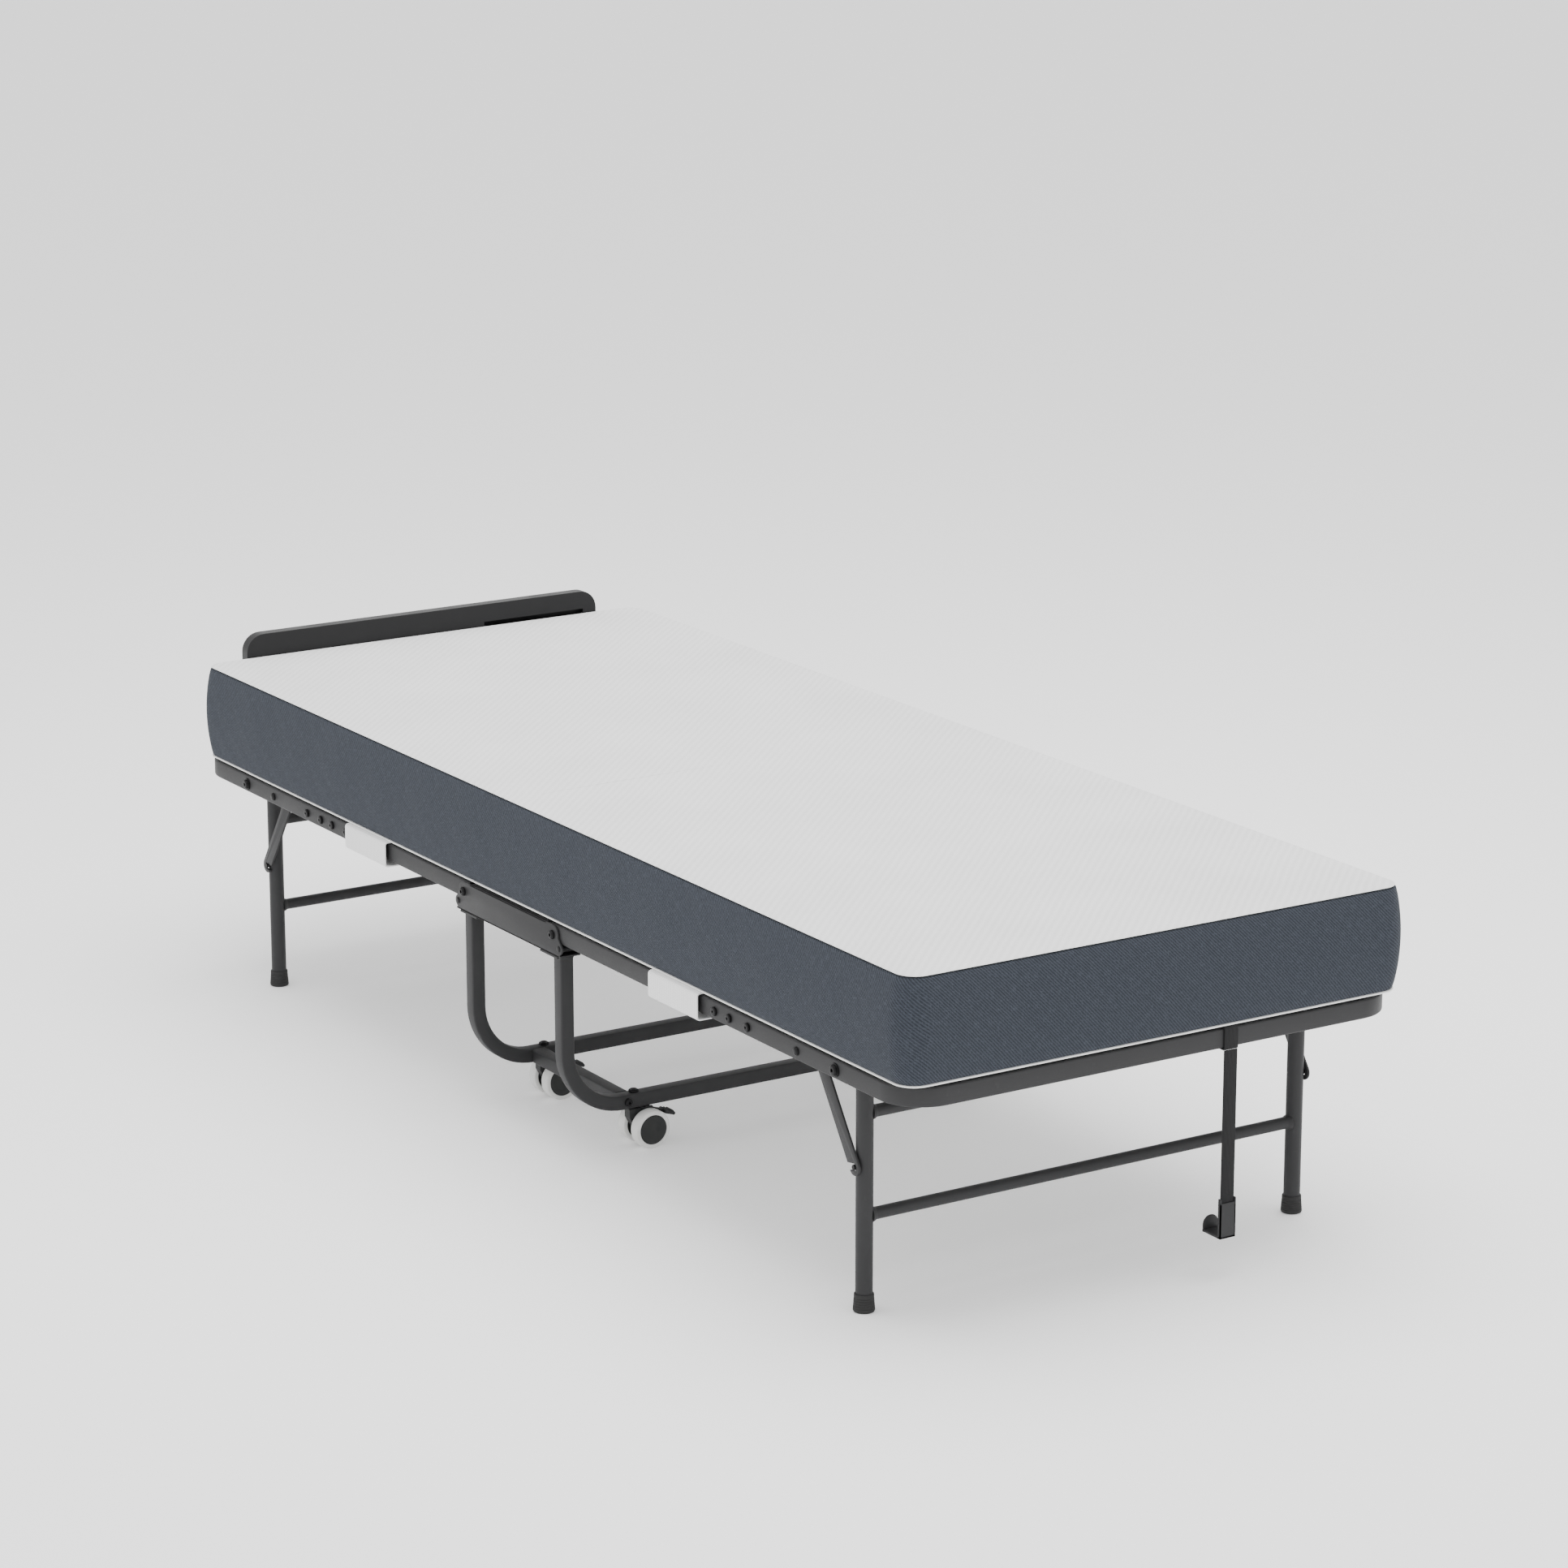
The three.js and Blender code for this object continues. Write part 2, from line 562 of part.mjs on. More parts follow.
function latchHook() {
  const sheet = 1.6;
  const y = [latch.y - latch.half - gap - sheet, latch.y + latch.half + gap + sheet];
  const frontX = [strapOut + gap, strapOut + gap + sheet];
  const lipX = [strapIn - 32, strapIn - 32 + sheet * 1.4];
  const { hookBottom, hookTop, cheekTop } = latch;
  const tongue = (y[1] - y[0]) / 2;
  const lip = new THREE.Shape();
  lip.moveTo(y[0], hookBottom);
  lip.lineTo(y[1], hookBottom);
  lip.absarc(latch.y, hookBottom + 9, tongue, 0, Math.PI);
  const cheek = (at) => box([strapIn - 1, frontX[1]], [at, at + sheet], [hookBottom, cheekTop]);
  return join(
    box(frontX, y, [hookBottom, hookTop]),
    cheek(y[0]),
    cheek(y[1] - sheet),
    box([lipX[0], frontX[1]], y, [hookBottom, hookBottom + 3.2]),
    slab('yz', lip, ...lipX),
  );
}

addPart(cot, 'latch_loop', latchLoop(), 'webbing');
addPart(cot, 'latch_strap', latchStrap(), 'webbing');
addPart(cot, 'latch_hook', latchHook(), 'frame');

export default cot;
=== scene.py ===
"""Looks of the folding cot: fine frame tubes, fittings, casters, cloth bands, webbing and mattress.

Metres, +Z up, +X towards the foot end. Sizes come from the CAD nodes or are named below.
"""
import math

import bmesh
import bpy
import numpy as np
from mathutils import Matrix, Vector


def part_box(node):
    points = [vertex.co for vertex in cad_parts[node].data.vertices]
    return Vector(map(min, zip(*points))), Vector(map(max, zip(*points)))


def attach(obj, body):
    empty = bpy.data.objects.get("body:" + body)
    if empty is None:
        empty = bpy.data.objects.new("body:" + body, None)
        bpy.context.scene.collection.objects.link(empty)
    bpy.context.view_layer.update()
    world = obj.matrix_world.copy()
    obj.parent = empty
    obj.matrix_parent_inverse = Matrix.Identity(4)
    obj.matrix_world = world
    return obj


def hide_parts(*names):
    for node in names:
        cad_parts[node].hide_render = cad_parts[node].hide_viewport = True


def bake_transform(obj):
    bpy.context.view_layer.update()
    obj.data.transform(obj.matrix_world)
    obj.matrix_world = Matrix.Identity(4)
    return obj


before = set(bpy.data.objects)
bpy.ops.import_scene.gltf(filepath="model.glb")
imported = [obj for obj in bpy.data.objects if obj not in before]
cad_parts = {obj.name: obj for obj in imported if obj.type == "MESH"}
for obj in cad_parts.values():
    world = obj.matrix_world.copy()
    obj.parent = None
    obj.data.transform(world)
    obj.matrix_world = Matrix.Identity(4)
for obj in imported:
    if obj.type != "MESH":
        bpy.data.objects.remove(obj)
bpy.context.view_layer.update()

MM = 0.001
TAU = 2 * math.pi
SMOOTH_ANGLE = math.radians(35)


# ---- places and sizes taken from the frame ---------------------------------------------------
def span(node):
    """The low and high corner of a CAD node, as numpy arrays."""
    low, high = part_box(node)
    return np.array(low), np.array(high)


def centre(node):
    """Middle of a CAD node's box: half the sum of its low and high corner."""
    low, high = span(node)
    return (low + high) / 2


ENDS = {"head": -1, "foot": 1}
SIDES = {"near": -1, "far": 1}
PIVOT_X = {end: centre(f"fold_bolt_{end}_near")[0] for end in ENDS}
LEG_X = {end: centre(f"leg_bolt_{end}_near")[0] for end in ENDS}
PIVOT_Z = centre("fold_bolt_foot_near")[2]
LEG_Z = centre("leg_bolt_foot_near")[2]
MIDDLE_X = (PIVOT_X["head"] + PIVOT_X["foot"]) / 2
TUBE_WALL = 1.5 * MM
CHEEK_OUTER, CHEEK_INNER = 380.6 * MM, 349.4 * MM    # faces of a pivot channel, from the middle
HOOP_LEG_Y = 364 * MM


# ---- meshes ----------------------------------------------------------------------------------
def quads(n, m, ring_rows=False, ring_columns=False):
    """Faces of an n by m grid, vertex (i, j) being i * m + j; a ring joins its last to its first."""
    rows, columns = n - (not ring_rows), m - (not ring_columns)
    i, j = np.meshgrid(np.arange(rows), np.arange(columns), indexing="ij")
    after, beside = (i + 1) % n, (j + 1) % m
    return np.stack([i * m + j, i * m + beside, after * m + beside, after * m + j], -1).reshape(-1, 4)


def skin(rings, loop=False):
    """Surface through rings of points, each ring a closed loop: vertex (i, j) is ring i's point j.

    The end rings are closed by polygons, unless the rings themselves form a loop.
    """
    rings = np.asarray(rings, float)
    n, m, _ = rings.shape
    faces = quads(n, m, loop, True).tolist()
    if not loop:
        faces += [list(range(m))[::-1], list(range((n - 1) * m, n * m))]
    return rings.reshape(-1, 3), faces


def build(name, parts, materials, attributes=None):
    """One object from parts, each (points, faces, material index or one index for each face)."""
    points, faces, slots = [], [], []
    start = 0
    for part_points, part_faces, slot in parts:
        points.append(part_points)
        faces += [[v + start for v in face] for face in part_faces]
        slots += list(slot) if np.ndim(slot) else [slot] * len(part_faces)
        start += len(part_points)
    mesh = bpy.data.meshes.new(name)
    mesh.from_pydata(np.concatenate(points).tolist(), [], faces)
    mesh.polygons.foreach_set("material_index", np.array(slots, np.int32))
    for key, values in (attributes or {}).items():
        kind = "FLOAT_VECTOR" if np.ndim(values) == 2 else "FLOAT"
        layer = mesh.attributes.new(key, kind, "POINT")
        layer.data.foreach_set("vector" if np.ndim(values) == 2 else "value", np.ravel(values))
    for material in materials:
        mesh.materials.append(material)
    work = bmesh.new()
    work.from_mesh(mesh)
    bmesh.ops.remove_doubles(work, verts=work.verts, dist=1e-6)
    open_edges = [edge for edge in work.edges if edge.is_boundary]
    if open_edges:
        bmesh.ops.holes_fill(work, edges=open_edges, sides=0)
    bmesh.ops.recalc_face_normals(work, faces=work.faces)
    work.to_mesh(mesh)
    work.free()
    mesh.polygons.foreach_set("use_smooth", np.ones(len(mesh.polygons), bool))
    mesh.set_sharp_from_angle(angle=SMOOTH_ANGLE)
    piece = bpy.data.objects.new(name, mesh)
    bpy.context.scene.collection.objects.link(piece)
    return piece


def install(piece, body, slot, *nodes):
    """The piece moves with a CAD body and stands for CAD nodes; the slot argument is not used."""
    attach(piece, body)
    if nodes:
        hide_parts(*nodes)
    return piece


def circle(radius, count=28):
    """Closed loop of radius * (cos a, sin a), the angle a going round in `count` equal steps."""
    angle = np.arange(count) * TAU / count
    return np.stack([radius * np.cos(angle), radius * np.sin(angle)], -1)


def rounded_square(width, height, radius, steps=3):
    """Closed loop of a rectangle centred on 0: a quarter arc about each corner's own centre."""
    points = []
    for quarter, (sx, sy) in enumerate([(1, 1), (-1, 1), (-1, -1), (1, -1)]):
        for angle in np.linspace(quarter, quarter + 1, steps + 1) * math.pi / 2:
            points.append((sx * (width / 2 - radius) + radius * math.cos(angle),
                           sy * (height / 2 - radius) + radius * math.sin(angle)))
    return np.array(points)


def sweep(path, normals, across, section):
    """Rings of a section carried along a path: point = path + a * normal + b * across."""
    path, normals = np.asarray(path, float), np.asarray(normals, float)
    section = np.asarray(section, float)
    across = np.broadcast_to(np.asarray(across, float), path.shape)
    return (path[:, None] + section[None, :, :1] * normals[:, None]
            + section[None, :, 1:] * across[:, None])


def hollow(path, normals, across, outer, inner):
    """Open-ended tube: out along the outer section and back along the inner one."""
    out = sweep(path, normals, across, outer)
    back = sweep(path, normals, across, inner)[::-1]
    return skin(np.concatenate([out, back]), loop=True)


def u_path(start, end, spread, bend, steps=16):
    """Points and inward normals, in a plane, of a U bent from `start` along +u round `end`.

    Two straight legs `spread` from the middle join through quarter arcs of radius `bend`.
    """
    u, v = end - bend, spread - bend
    points, normals = [(start, -spread)], [(0.0, 1.0)]
    for corner_v, first in ((-v, -math.pi / 2), (v, 0.0)):
        for angle in np.linspace(first, first + math.pi / 2, steps + 1):
            out = np.array([math.cos(angle), math.sin(angle)])
            points.append(tuple(np.array([u, corner_v]) + bend * out))
            normals.append(tuple(-out))
    points.append((start, spread))
    normals.append((0.0, -1.0))
    return np.array(points), np.array(normals)


def turned(axis, place, stations, count=28):
    """A piece turned about an axis through `place`: ring i is its radius times (cos a, sin a).

    stations are (position along the axis, radius) or (position, radius, flats): a station with
    flats is a regular polygon of that many sides, scaled so that its corners are at the radius.
    """
    axis_index = "xyz".index(axis)
    others = [k for k in range(3) if k != axis_index]
    angle = np.arange(count) * TAU / count
    rings = []
    for position, radius, *flats in stations:
        reach = np.full(count, float(radius))
        if flats:
            part = TAU / flats[0]
            reach = radius * math.cos(part / 2) / np.cos((angle % part) - part / 2)
        ring = np.zeros((count, 3))
        ring[:, axis_index] = position
        ring[:, others[0]] = place[0] + reach * np.cos(angle)
        ring[:, others[1]] = place[1] + reach * np.sin(angle)
        rings.append(ring)
    return skin(rings)


def bands(stations, slot_of, count=28):
    """Face materials of a turned piece: slot_of(i) is the slot of the band after station i."""
    slots = [slot_of(i) for i in range(len(stations) - 1) for _ in range(count)]
    return slots + [slot_of(0), slot_of(len(stations) - 2)]


def plate(plane, outline, low, high, edge):
    """A flat outline between two planes with softened edges of the given width.

    Each ring is the outline moved inwards along its mitres, by less nearer the middle depth.
    """
    outline = np.asarray(outline, float)
    ahead, behind = np.roll(outline, -1, 0) - outline, outline - np.roll(outline, 1, 0)
    following = np.roll(outline, -1, 0)
    area = (outline[:, 0] * following[:, 1] - following[:, 0] * outline[:, 1]).sum()
    side = 1 if area > 0 else -1
    unit = lambda v: v / np.maximum(np.linalg.norm(v, axis=1, keepdims=True), 1e-9)
    inward = lambda v: side * np.stack([-v[:, 1], v[:, 0]], -1)
    mitre = inward(unit(ahead)) + inward(unit(behind))
    mitre = 2 * mitre / np.maximum((mitre ** 2).sum(1, keepdims=True), 0.8)
    rings = []
    for inset, depth in ((edge, low), (edge * 0.3, low + edge * 0.3), (0, low + edge),
                         (0, high - edge), (edge * 0.3, high - edge * 0.3), (edge, high)):
        flat = outline + inset * mitre
        order = {"xz": (0, None, 1), "yz": (None, 0, 1), "xy": (0, 1, None)}[plane]
        rings.append(np.stack([np.full(len(flat), depth) if k is None else flat[:, k] for k in order], -1))
    return skin(rings)


def arc(cx, cy, radius, first, last, steps=10):
    """Points of an arc: centre + radius * (cos a, sin a), angles in degrees."""
    angle = np.radians(np.linspace(first, last, steps + 1))
    return [(cx + radius * math.cos(a), cy + radius * math.sin(a)) for a in angle]


def bar(x, y, z, edge=0.6 * MM):
    """A box with softened edges, from (low, high) on each axis."""
    outline = [(x[0], y[0]), (x[1], y[0]), (x[1], y[1]), (x[0], y[1])]
    return plate("xy", outline, min(z), max(z), edge)


# ---- materials -------------------------------------------------------------------------------
def linear(colour):
    """sRGB hex to a linear RGBA tuple."""
    parts = [int(colour[k:k + 2], 16) / 255 for k in (0, 2, 4)]
    return tuple(c / 12.92 if c <= 0.04045 else ((c + 0.055) / 1.055) ** 2.4 for c in parts) + (1.0,)


def add(tree, kind, links, out=0, **settings):
    """Add a shader node. Each link is a value or a socket, by input; returns one of its outputs."""
    node = tree.nodes.new("ShaderNode" + kind)
    for key, value in settings.items():
        setattr(node, key, value)
    for key, value in links.items():
        if isinstance(value, bpy.types.NodeSocket):
            tree.links.new(value, node.inputs[key])
        else:
            node.inputs[key].default_value = value
    return node.outputs[out]


def start(name, **values):
    """A material with its surface's constant inputs set, and the place of a point in metres."""
    material = bpy.data.materials.new(name)
    material.use_nodes = True
    tree = material.node_tree
    surface = tree.nodes["Principled BSDF"]
    for key, value in values.items():
        surface.inputs[key.replace("_", " ")].default_value = value
    place = add(tree, "TexCoord", {}, out="Object")
    return material, tree, surface, place


def finish(material, tree, surface, colour, relief, depth, roughness=None):
    """Join a colour, a relief `depth` metres deep and, if given, a roughness to the surface."""
    tree.links.new(colour, surface.inputs["Base Color"])
    if roughness:
        tree.links.new(roughness, surface.inputs["Roughness"])
    normal = add(tree, "Bump", {"Height": relief, "Distance": depth, "Strength": 1.0})
    tree.links.new(normal, surface.inputs["Normal"])
    return material


def threads(tree, value, spacing):
    """Rows of thread: a sine of the distance `value`, one rise in each `spacing` metres."""
    turns = add(tree, "Math", {0: value, 1: TAU / spacing}, operation="MULTIPLY")
    return add(tree, "Math", {0: turns}, operation="SINE")


def coated_steel(name, colour, rubbed, roughness, metallic=0.0):
    """A thin coat on steel: orange peel 1.2 mm across, gloss that drifts and faint rubbed spots."""
    material, tree, surface, place = start(name, Metallic=metallic, Specular_IOR_Level=0.22)
    peel = add(tree, "TexNoise", {"Vector": place, "Scale": 1 / (1.2 * MM), "Detail": 2.0})
    drift = add(tree, "TexNoise", {"Vector": place, "Scale": 1 / (60 * MM), "Detail": 4.0})
    wear = add(tree, "TexNoise", {"Vector": place, "Scale": 1 / (9 * MM), "Detail": 5.0, "Roughness": 0.65})
    uneven = add(tree, "MapRange", {0: drift, 1: 0.3, 2: 0.7, 3: 0.0, 4: 0.35})
    spots = add(tree, "MapRange", {0: wear, 1: 0.6, 2: 0.78, 3: 0.0, 4: 0.5})
    base = add(tree, "Mix", {0: uneven, 6: linear(colour), 7: linear(rubbed)}, out=2, data_type="RGBA")
    tone = add(tree, "Mix", {0: spots, 6: base, 7: linear(rubbed)}, out=2, data_type="RGBA")
    broad = add(tree, "MapRange", {0: drift, 1: 0.2, 2: 0.8, 3: roughness - 0.06, 4: roughness + 0.08})
    fine = add(tree, "MapRange", {0: peel, 1: 0.2, 2: 0.8, 3: -0.05, 4: 0.05})
    gloss = add(tree, "Math", {0: broad, 1: fine}, operation="ADD")
    return finish(material, tree, surface, tone, peel, 0.06 * MM, gloss)


def moulded(name, colour, dusty, roughness, grain=0.8 * MM, depth=0.08 * MM):
    """Moulded plastic or rubber: the mould's fine grain, and a little dust that dulls it."""
    material, tree, surface, place = start(name, Specular_IOR_Level=0.25)
    cloud = add(tree, "TexNoise", {"Vector": place, "Scale": 1 / (45 * MM), "Detail": 4.0, "Roughness": 0.55})
    skin_grain = add(tree, "TexNoise", {"Vector": place, "Scale": 1 / grain, "Detail": 3.0})
    dust = add(tree, "MapRange", {0: cloud, 1: 0.45, 2: 0.75, 3: 0.0, 4: 0.35})
    tone = add(tree, "Mix", {0: dust, 6: linear(colour), 7: linear(dusty)}, out=2, data_type="RGBA")
    gloss = add(tree, "MapRange", {0: dust, 1: 0.0, 2: 0.5, 3: roughness - 0.05, 4: roughness + 0.1})
    return finish(material, tree, surface, tone, skin_grain, depth, gloss)


def ribbed_band(name, colour, shade, across, along, rib, sheen=0.25):
    """Narrow woven goods: ribs `rib` metres apart on one axis, crossed by finer threads."""
    material, tree, surface, place = start(name, Roughness=0.85, Specular_IOR_Level=0.2,
                                           Sheen_Weight=sheen, Sheen_Roughness=0.5)
    ribs = threads(tree, add(tree, "SeparateXYZ", {0: place}, out=across), rib)
    picks = threads(tree, add(tree, "SeparateXYZ", {0: place}, out=along), rib * 0.7)
    weave = add(tree, "Math", {0: picks, 1: 0.6, 2: ribs}, operation="MULTIPLY_ADD")
    light = add(tree, "MapRange", {0: weave, 1: -1.2, 2: 1.2, 3: 0.0, 4: 1.0})
    tone = add(tree, "Mix", {0: light, 6: linear(shade), 7: linear(colour)}, out=2, data_type="RGBA")
    return finish(material, tree, surface, tone, weave, 0.12 * MM)


def knitted_cover():
    """Polyester double knit: soft diagonal ribs 14 mm apart that sway, over small loops.

    Real loops are about 1 mm across; they are drawn 2.2 mm across so that they show.
    """
    material, tree, surface, _ = start("polyester_double_knit", Roughness=0.95, Sheen_Weight=0.2,
                                       Sheen_Roughness=0.6)
    rest = add(tree, "Attribute", {}, out="Vector", attribute_name="rest")
    x = add(tree, "SeparateXYZ", {0: rest}, out="X")
    y = add(tree, "SeparateXYZ", {0: rest}, out="Y")
    sway = add(tree, "TexNoise", {"Vector": rest, "Scale": 1 / (90 * MM), "Detail": 2.0})
    loops = add(tree, "TexNoise", {"Vector": rest, "Scale": 1 / (2.2 * MM), "Detail": 2.0, "Roughness": 0.6})
    cloud = add(tree, "TexNoise", {"Vector": rest, "Scale": 1 / (140 * MM), "Detail": 3.0})
    diagonal = add(tree, "Math", {0: x, 1: y}, operation="ADD")
    swaying = add(tree, "Math", {0: sway, 1: 6 * MM, 2: diagonal}, operation="MULTIPLY_ADD")
    ribs = threads(tree, swaying, 14 * MM)
    height = add(tree, "Math", {0: ribs, 1: 0.5, 2: loops}, operation="MULTIPLY_ADD")
    raised = add(tree, "MapRange", {0: height, 1: -0.3, 2: 1.3, 3: 0.0, 4: 0.7})
    soft = add(tree, "MapRange", {0: cloud, 1: 0.3, 2: 0.7, 3: 0.0, 4: 0.3})
    light = add(tree, "Math", {0: raised, 1: soft}, operation="ADD")
    tone = add(tree, "Mix", {0: light, 6: linear("d2d2d2"), 7: linear("e8e8e8")}, out=2, data_type="RGBA")
    return finish(material, tree, surface, tone, height, 0.35 * MM)


def drawn_noise(tree, place, ratio):
    """Noise drawn out along the axis whose ratio is small, like thick and thin places in a yarn."""
    drawn = add(tree, "VectorMath", {0: place, 1: ratio}, operation="MULTIPLY")
    return add(tree, "TexNoise", {"Vector": drawn, "Scale": 1 / (1.3 * MM), "Detail": 2.0, "Roughness": 0.6})


def melange_twill():
    """Blue-grey polyester twill of mixed yarn: a diagonal wale, crossing threads and slubs.

    A real wale is about 1 mm; it is drawn 4.6 mm wide, and the threads 2.4 mm, so that they show.
    """
    material, tree, surface, _ = start("melange_twill", Roughness=0.9, Specular_IOR_Level=0.12,
                                       Sheen_Weight=0.05, Sheen_Roughness=0.45)
    along = add(tree, "Attribute", {}, out="Fac", attribute_name="along")
    rest = add(tree, "Attribute", {}, out="Vector", attribute_name="rest")
    height = add(tree, "SeparateXYZ", {0: rest}, out="Z")
    flat = add(tree, "CombineXYZ", {0: along, 1: height})
    shake = add(tree, "TexNoise", {"Vector": flat, "Scale": 1 / (12 * MM), "Detail": 3.0})
    slope = add(tree, "Math", {0: along, 1: height}, operation="ADD")
    shaken = add(tree, "Math", {0: shake, 1: 1.6 * MM, 2: slope}, operation="MULTIPLY_ADD")
    warp = threads(tree, along, 2.4 * MM)
    weft = threads(tree, height, 2.4 * MM)
    crossing = add(tree, "Math", {0: warp, 1: weft}, operation="MULTIPLY")
    wale = threads(tree, shaken, 4.6 * MM)
    weave = add(tree, "Math", {0: crossing, 1: 0.5, 2: wale}, operation="MULTIPLY_ADD")
    both = add(tree, "Math", {0: drawn_noise(tree, flat, (0.12, 1, 1)),
                              1: drawn_noise(tree, flat, (1, 0.12, 1))}, operation="ADD")
    slub = add(tree, "Math", {0: both, 1: 0.5}, operation="MULTIPLY")
    light = add(tree, "MapRange", {0: weave, 1: -1.3, 2: 1.3, 3: 0.0, 4: 1.0})
    thick = add(tree, "MapRange", {0: slub, 1: 0.48, 2: 0.62, 3: 0.0, 4: 0.3})
    woven = add(tree, "Mix", {0: light, 6: linear("25272c"), 7: linear("3d424a")}, out=2, data_type="RGBA")
    tone = add(tree, "Mix", {0: thick, 6: woven, 7: linear("515660")}, out=2, data_type="RGBA")
    relief = add(tree, "Math", {0: weave, 1: slub}, operation="ADD")
    return finish(material, tree, surface, tone, relief, 0.18 * MM)


# Charcoal powder coat: satin, slightly grey where it faces the light.
COAT = coated_steel("charcoal_powder_coat", "2b2b2c", "363637", 0.5)
# Black zinc plating on bolts, nuts and pins: darker than the tubes, with a metal's small glints.
BOLT = coated_steel("black_zinc_plate", "161617", "2a2a2b", 0.38, 0.5)
# Vulcanised rubber feet: matt and nearly the frame's grey.
RUBBER = moulded("vulcanised_rubber", "2b2b2b", "3b3a39", 0.75)
# Injection-moulded nylon of the caster bodies, hubs and levers: dull dark grey.
NYLON = moulded("moulded_nylon", "262727", "3c3b39", 0.5)
# Thermoplastic rubber tyres: off-white, soft-looking, smooth.
TREAD = moulded("thermoplastic_rubber", "dcdcda", "bdbbb5", 0.55, 1.2 * MM, 0.05 * MM)
# Moulded polypropylene head board: the darkest large face, with a sheen along its edges.
BOARD = moulded("moulded_polypropylene", "161617", "1e1e1f", 0.42, 0.9 * MM, 0.07 * MM)
# Polyester webbing of the latch: fine cross ribs, no shine.
WEBBING = ribbed_band("polyester_webbing", "272728", "161617", "Y", "Z", 1.6 * MM, 0.04)
# Knitted elastic of the mattress bands: white with soft cords along it.
ELASTIC = ribbed_band("knitted_elastic", "f4f4f4", "e0e0e0", "X", "Z", 3.2 * MM)
# Bound edge of the cover's base: a white cotton tape rolled over a cord.
PIPING = ribbed_band("cotton_piping", "f2f2f1", "dcdcdc", "X", "Y", 2.4 * MM)
# Nonwoven polyester under the mattress: plain white.
LINING = ribbed_band("nonwoven_lining", "e9e9e8", "dcdcdb", "X", "Y", 3.0 * MM)
# Painted shade: a dark colour on the two rows of the sunk top seam, standing for the shade in its crease.
SEAM_SHADE = moulded("painted_seam_shade", "1d2024", "2c3036", 0.9)
KNIT = knitted_cover()
TWILL = melange_twill()


# ---- frame -----------------------------------------------------------------------------------
def rail_frame(end):
    """U-shaped rail of one half: a square section carried along the U, and back inside as a wall."""
    low, high = span(f"{end}_rail")
    sign = ENDS[end]
    size = high[2] - low[2]
    half_width = (high[1] - low[1]) / 2 - size / 2
    start, finish = (low[0], high[0] - size / 2) if sign > 0 else (-high[0], -low[0] - size / 2)
    points, normals = u_path(start, finish, half_width, 46.5 * MM)
    level = (low[2] + high[2]) / 2
    path = np.stack([sign * points[:, 0], sign * points[:, 1], np.full(len(points), level)], -1)
    facing = np.stack([sign * normals[:, 0], sign * normals[:, 1], np.zeros(len(points))], -1)
    inner = size - 2 * TUBE_WALL
    tube = hollow(path, facing, (0, 0, 1), rounded_square(size, size, 2.6 * MM),
                  rounded_square(inner, inner, 1.2 * MM))
    piece = build(f"{end}_rail_tube", [(*tube, 0)], [COAT])
    return install(piece, f"{end}_frame", "frame_coat", f"{end}_rail")


def upright_hoop(end):
    """Square tube carried along a U across the bed, a flange on each leg, a weld round it.

    The weld is three squares stacked towards the flange, each 1.2 mm larger than the last.
    """
    low, high = span(f"hoop_{end}")
    x, size, flange = PIVOT_X[end], 20 * MM, 3 * MM
    points, normals = u_path(-(high[2] - flange), -(low[2] + size / 2), HOOP_LEG_Y, 85 * MM)
    path = np.stack([np.full(len(points), x), points[:, 1], -points[:, 0]], -1)
    facing = np.stack([np.zeros(len(points)), normals[:, 1], -normals[:, 0]], -1)
    inner = size - 2 * TUBE_WALL
    parts = [(*hollow(path, facing, (1, 0, 0), rounded_square(size, size, 2.4 * MM),
                      rounded_square(inner, inner, 1 * MM)), 0)]
    for side in SIDES.values():
        edge = sorted((side * CHEEK_INNER, side * high[1]))
        parts.append((*bar((low[0], high[0]), edge, (high[2] - flange, high[2])), 0))
        weld = [(np.array([x, side * HOOP_LEG_Y, high[2] - flange - drop]), grow)
                for drop, grow in ((3.2 * MM, 0), (1.6 * MM, 1.2 * MM), (0, 2.4 * MM))]
        rings = [place + np.pad(rounded_square(size + grow, size + grow, 3 * MM), ((0, 0), (0, 1)))
                 for place, grow in weld]
        parts.append((*skin(rings), 0))
    piece = build(f"hoop_{end}_tube", parts, [COAT])
    return install(piece, "base", "frame_coat", f"hoop_{end}")


def link_bar(side):
    """Straight square tube between the hoops: an outer and an inner section along one line."""
    low, high = span(f"link_bar_{side}")
    place = (low + high) / 2
    size = high[2] - low[2]
    path = [(low[0], place[1], place[2]), (high[0], place[1], place[2])]
    inner = size - 2 * TUBE_WALL
    tube = hollow(path, [(0, 1, 0)] * 2, (0, 0, 1), rounded_square(size, size, 2.4 * MM),
                  rounded_square(inner, inner, 1 * MM))
    piece = build(f"link_bar_{side}_tube", [(*tube, 0)], [COAT])
    return install(piece, "base", "frame_coat", f"link_bar_{side}")


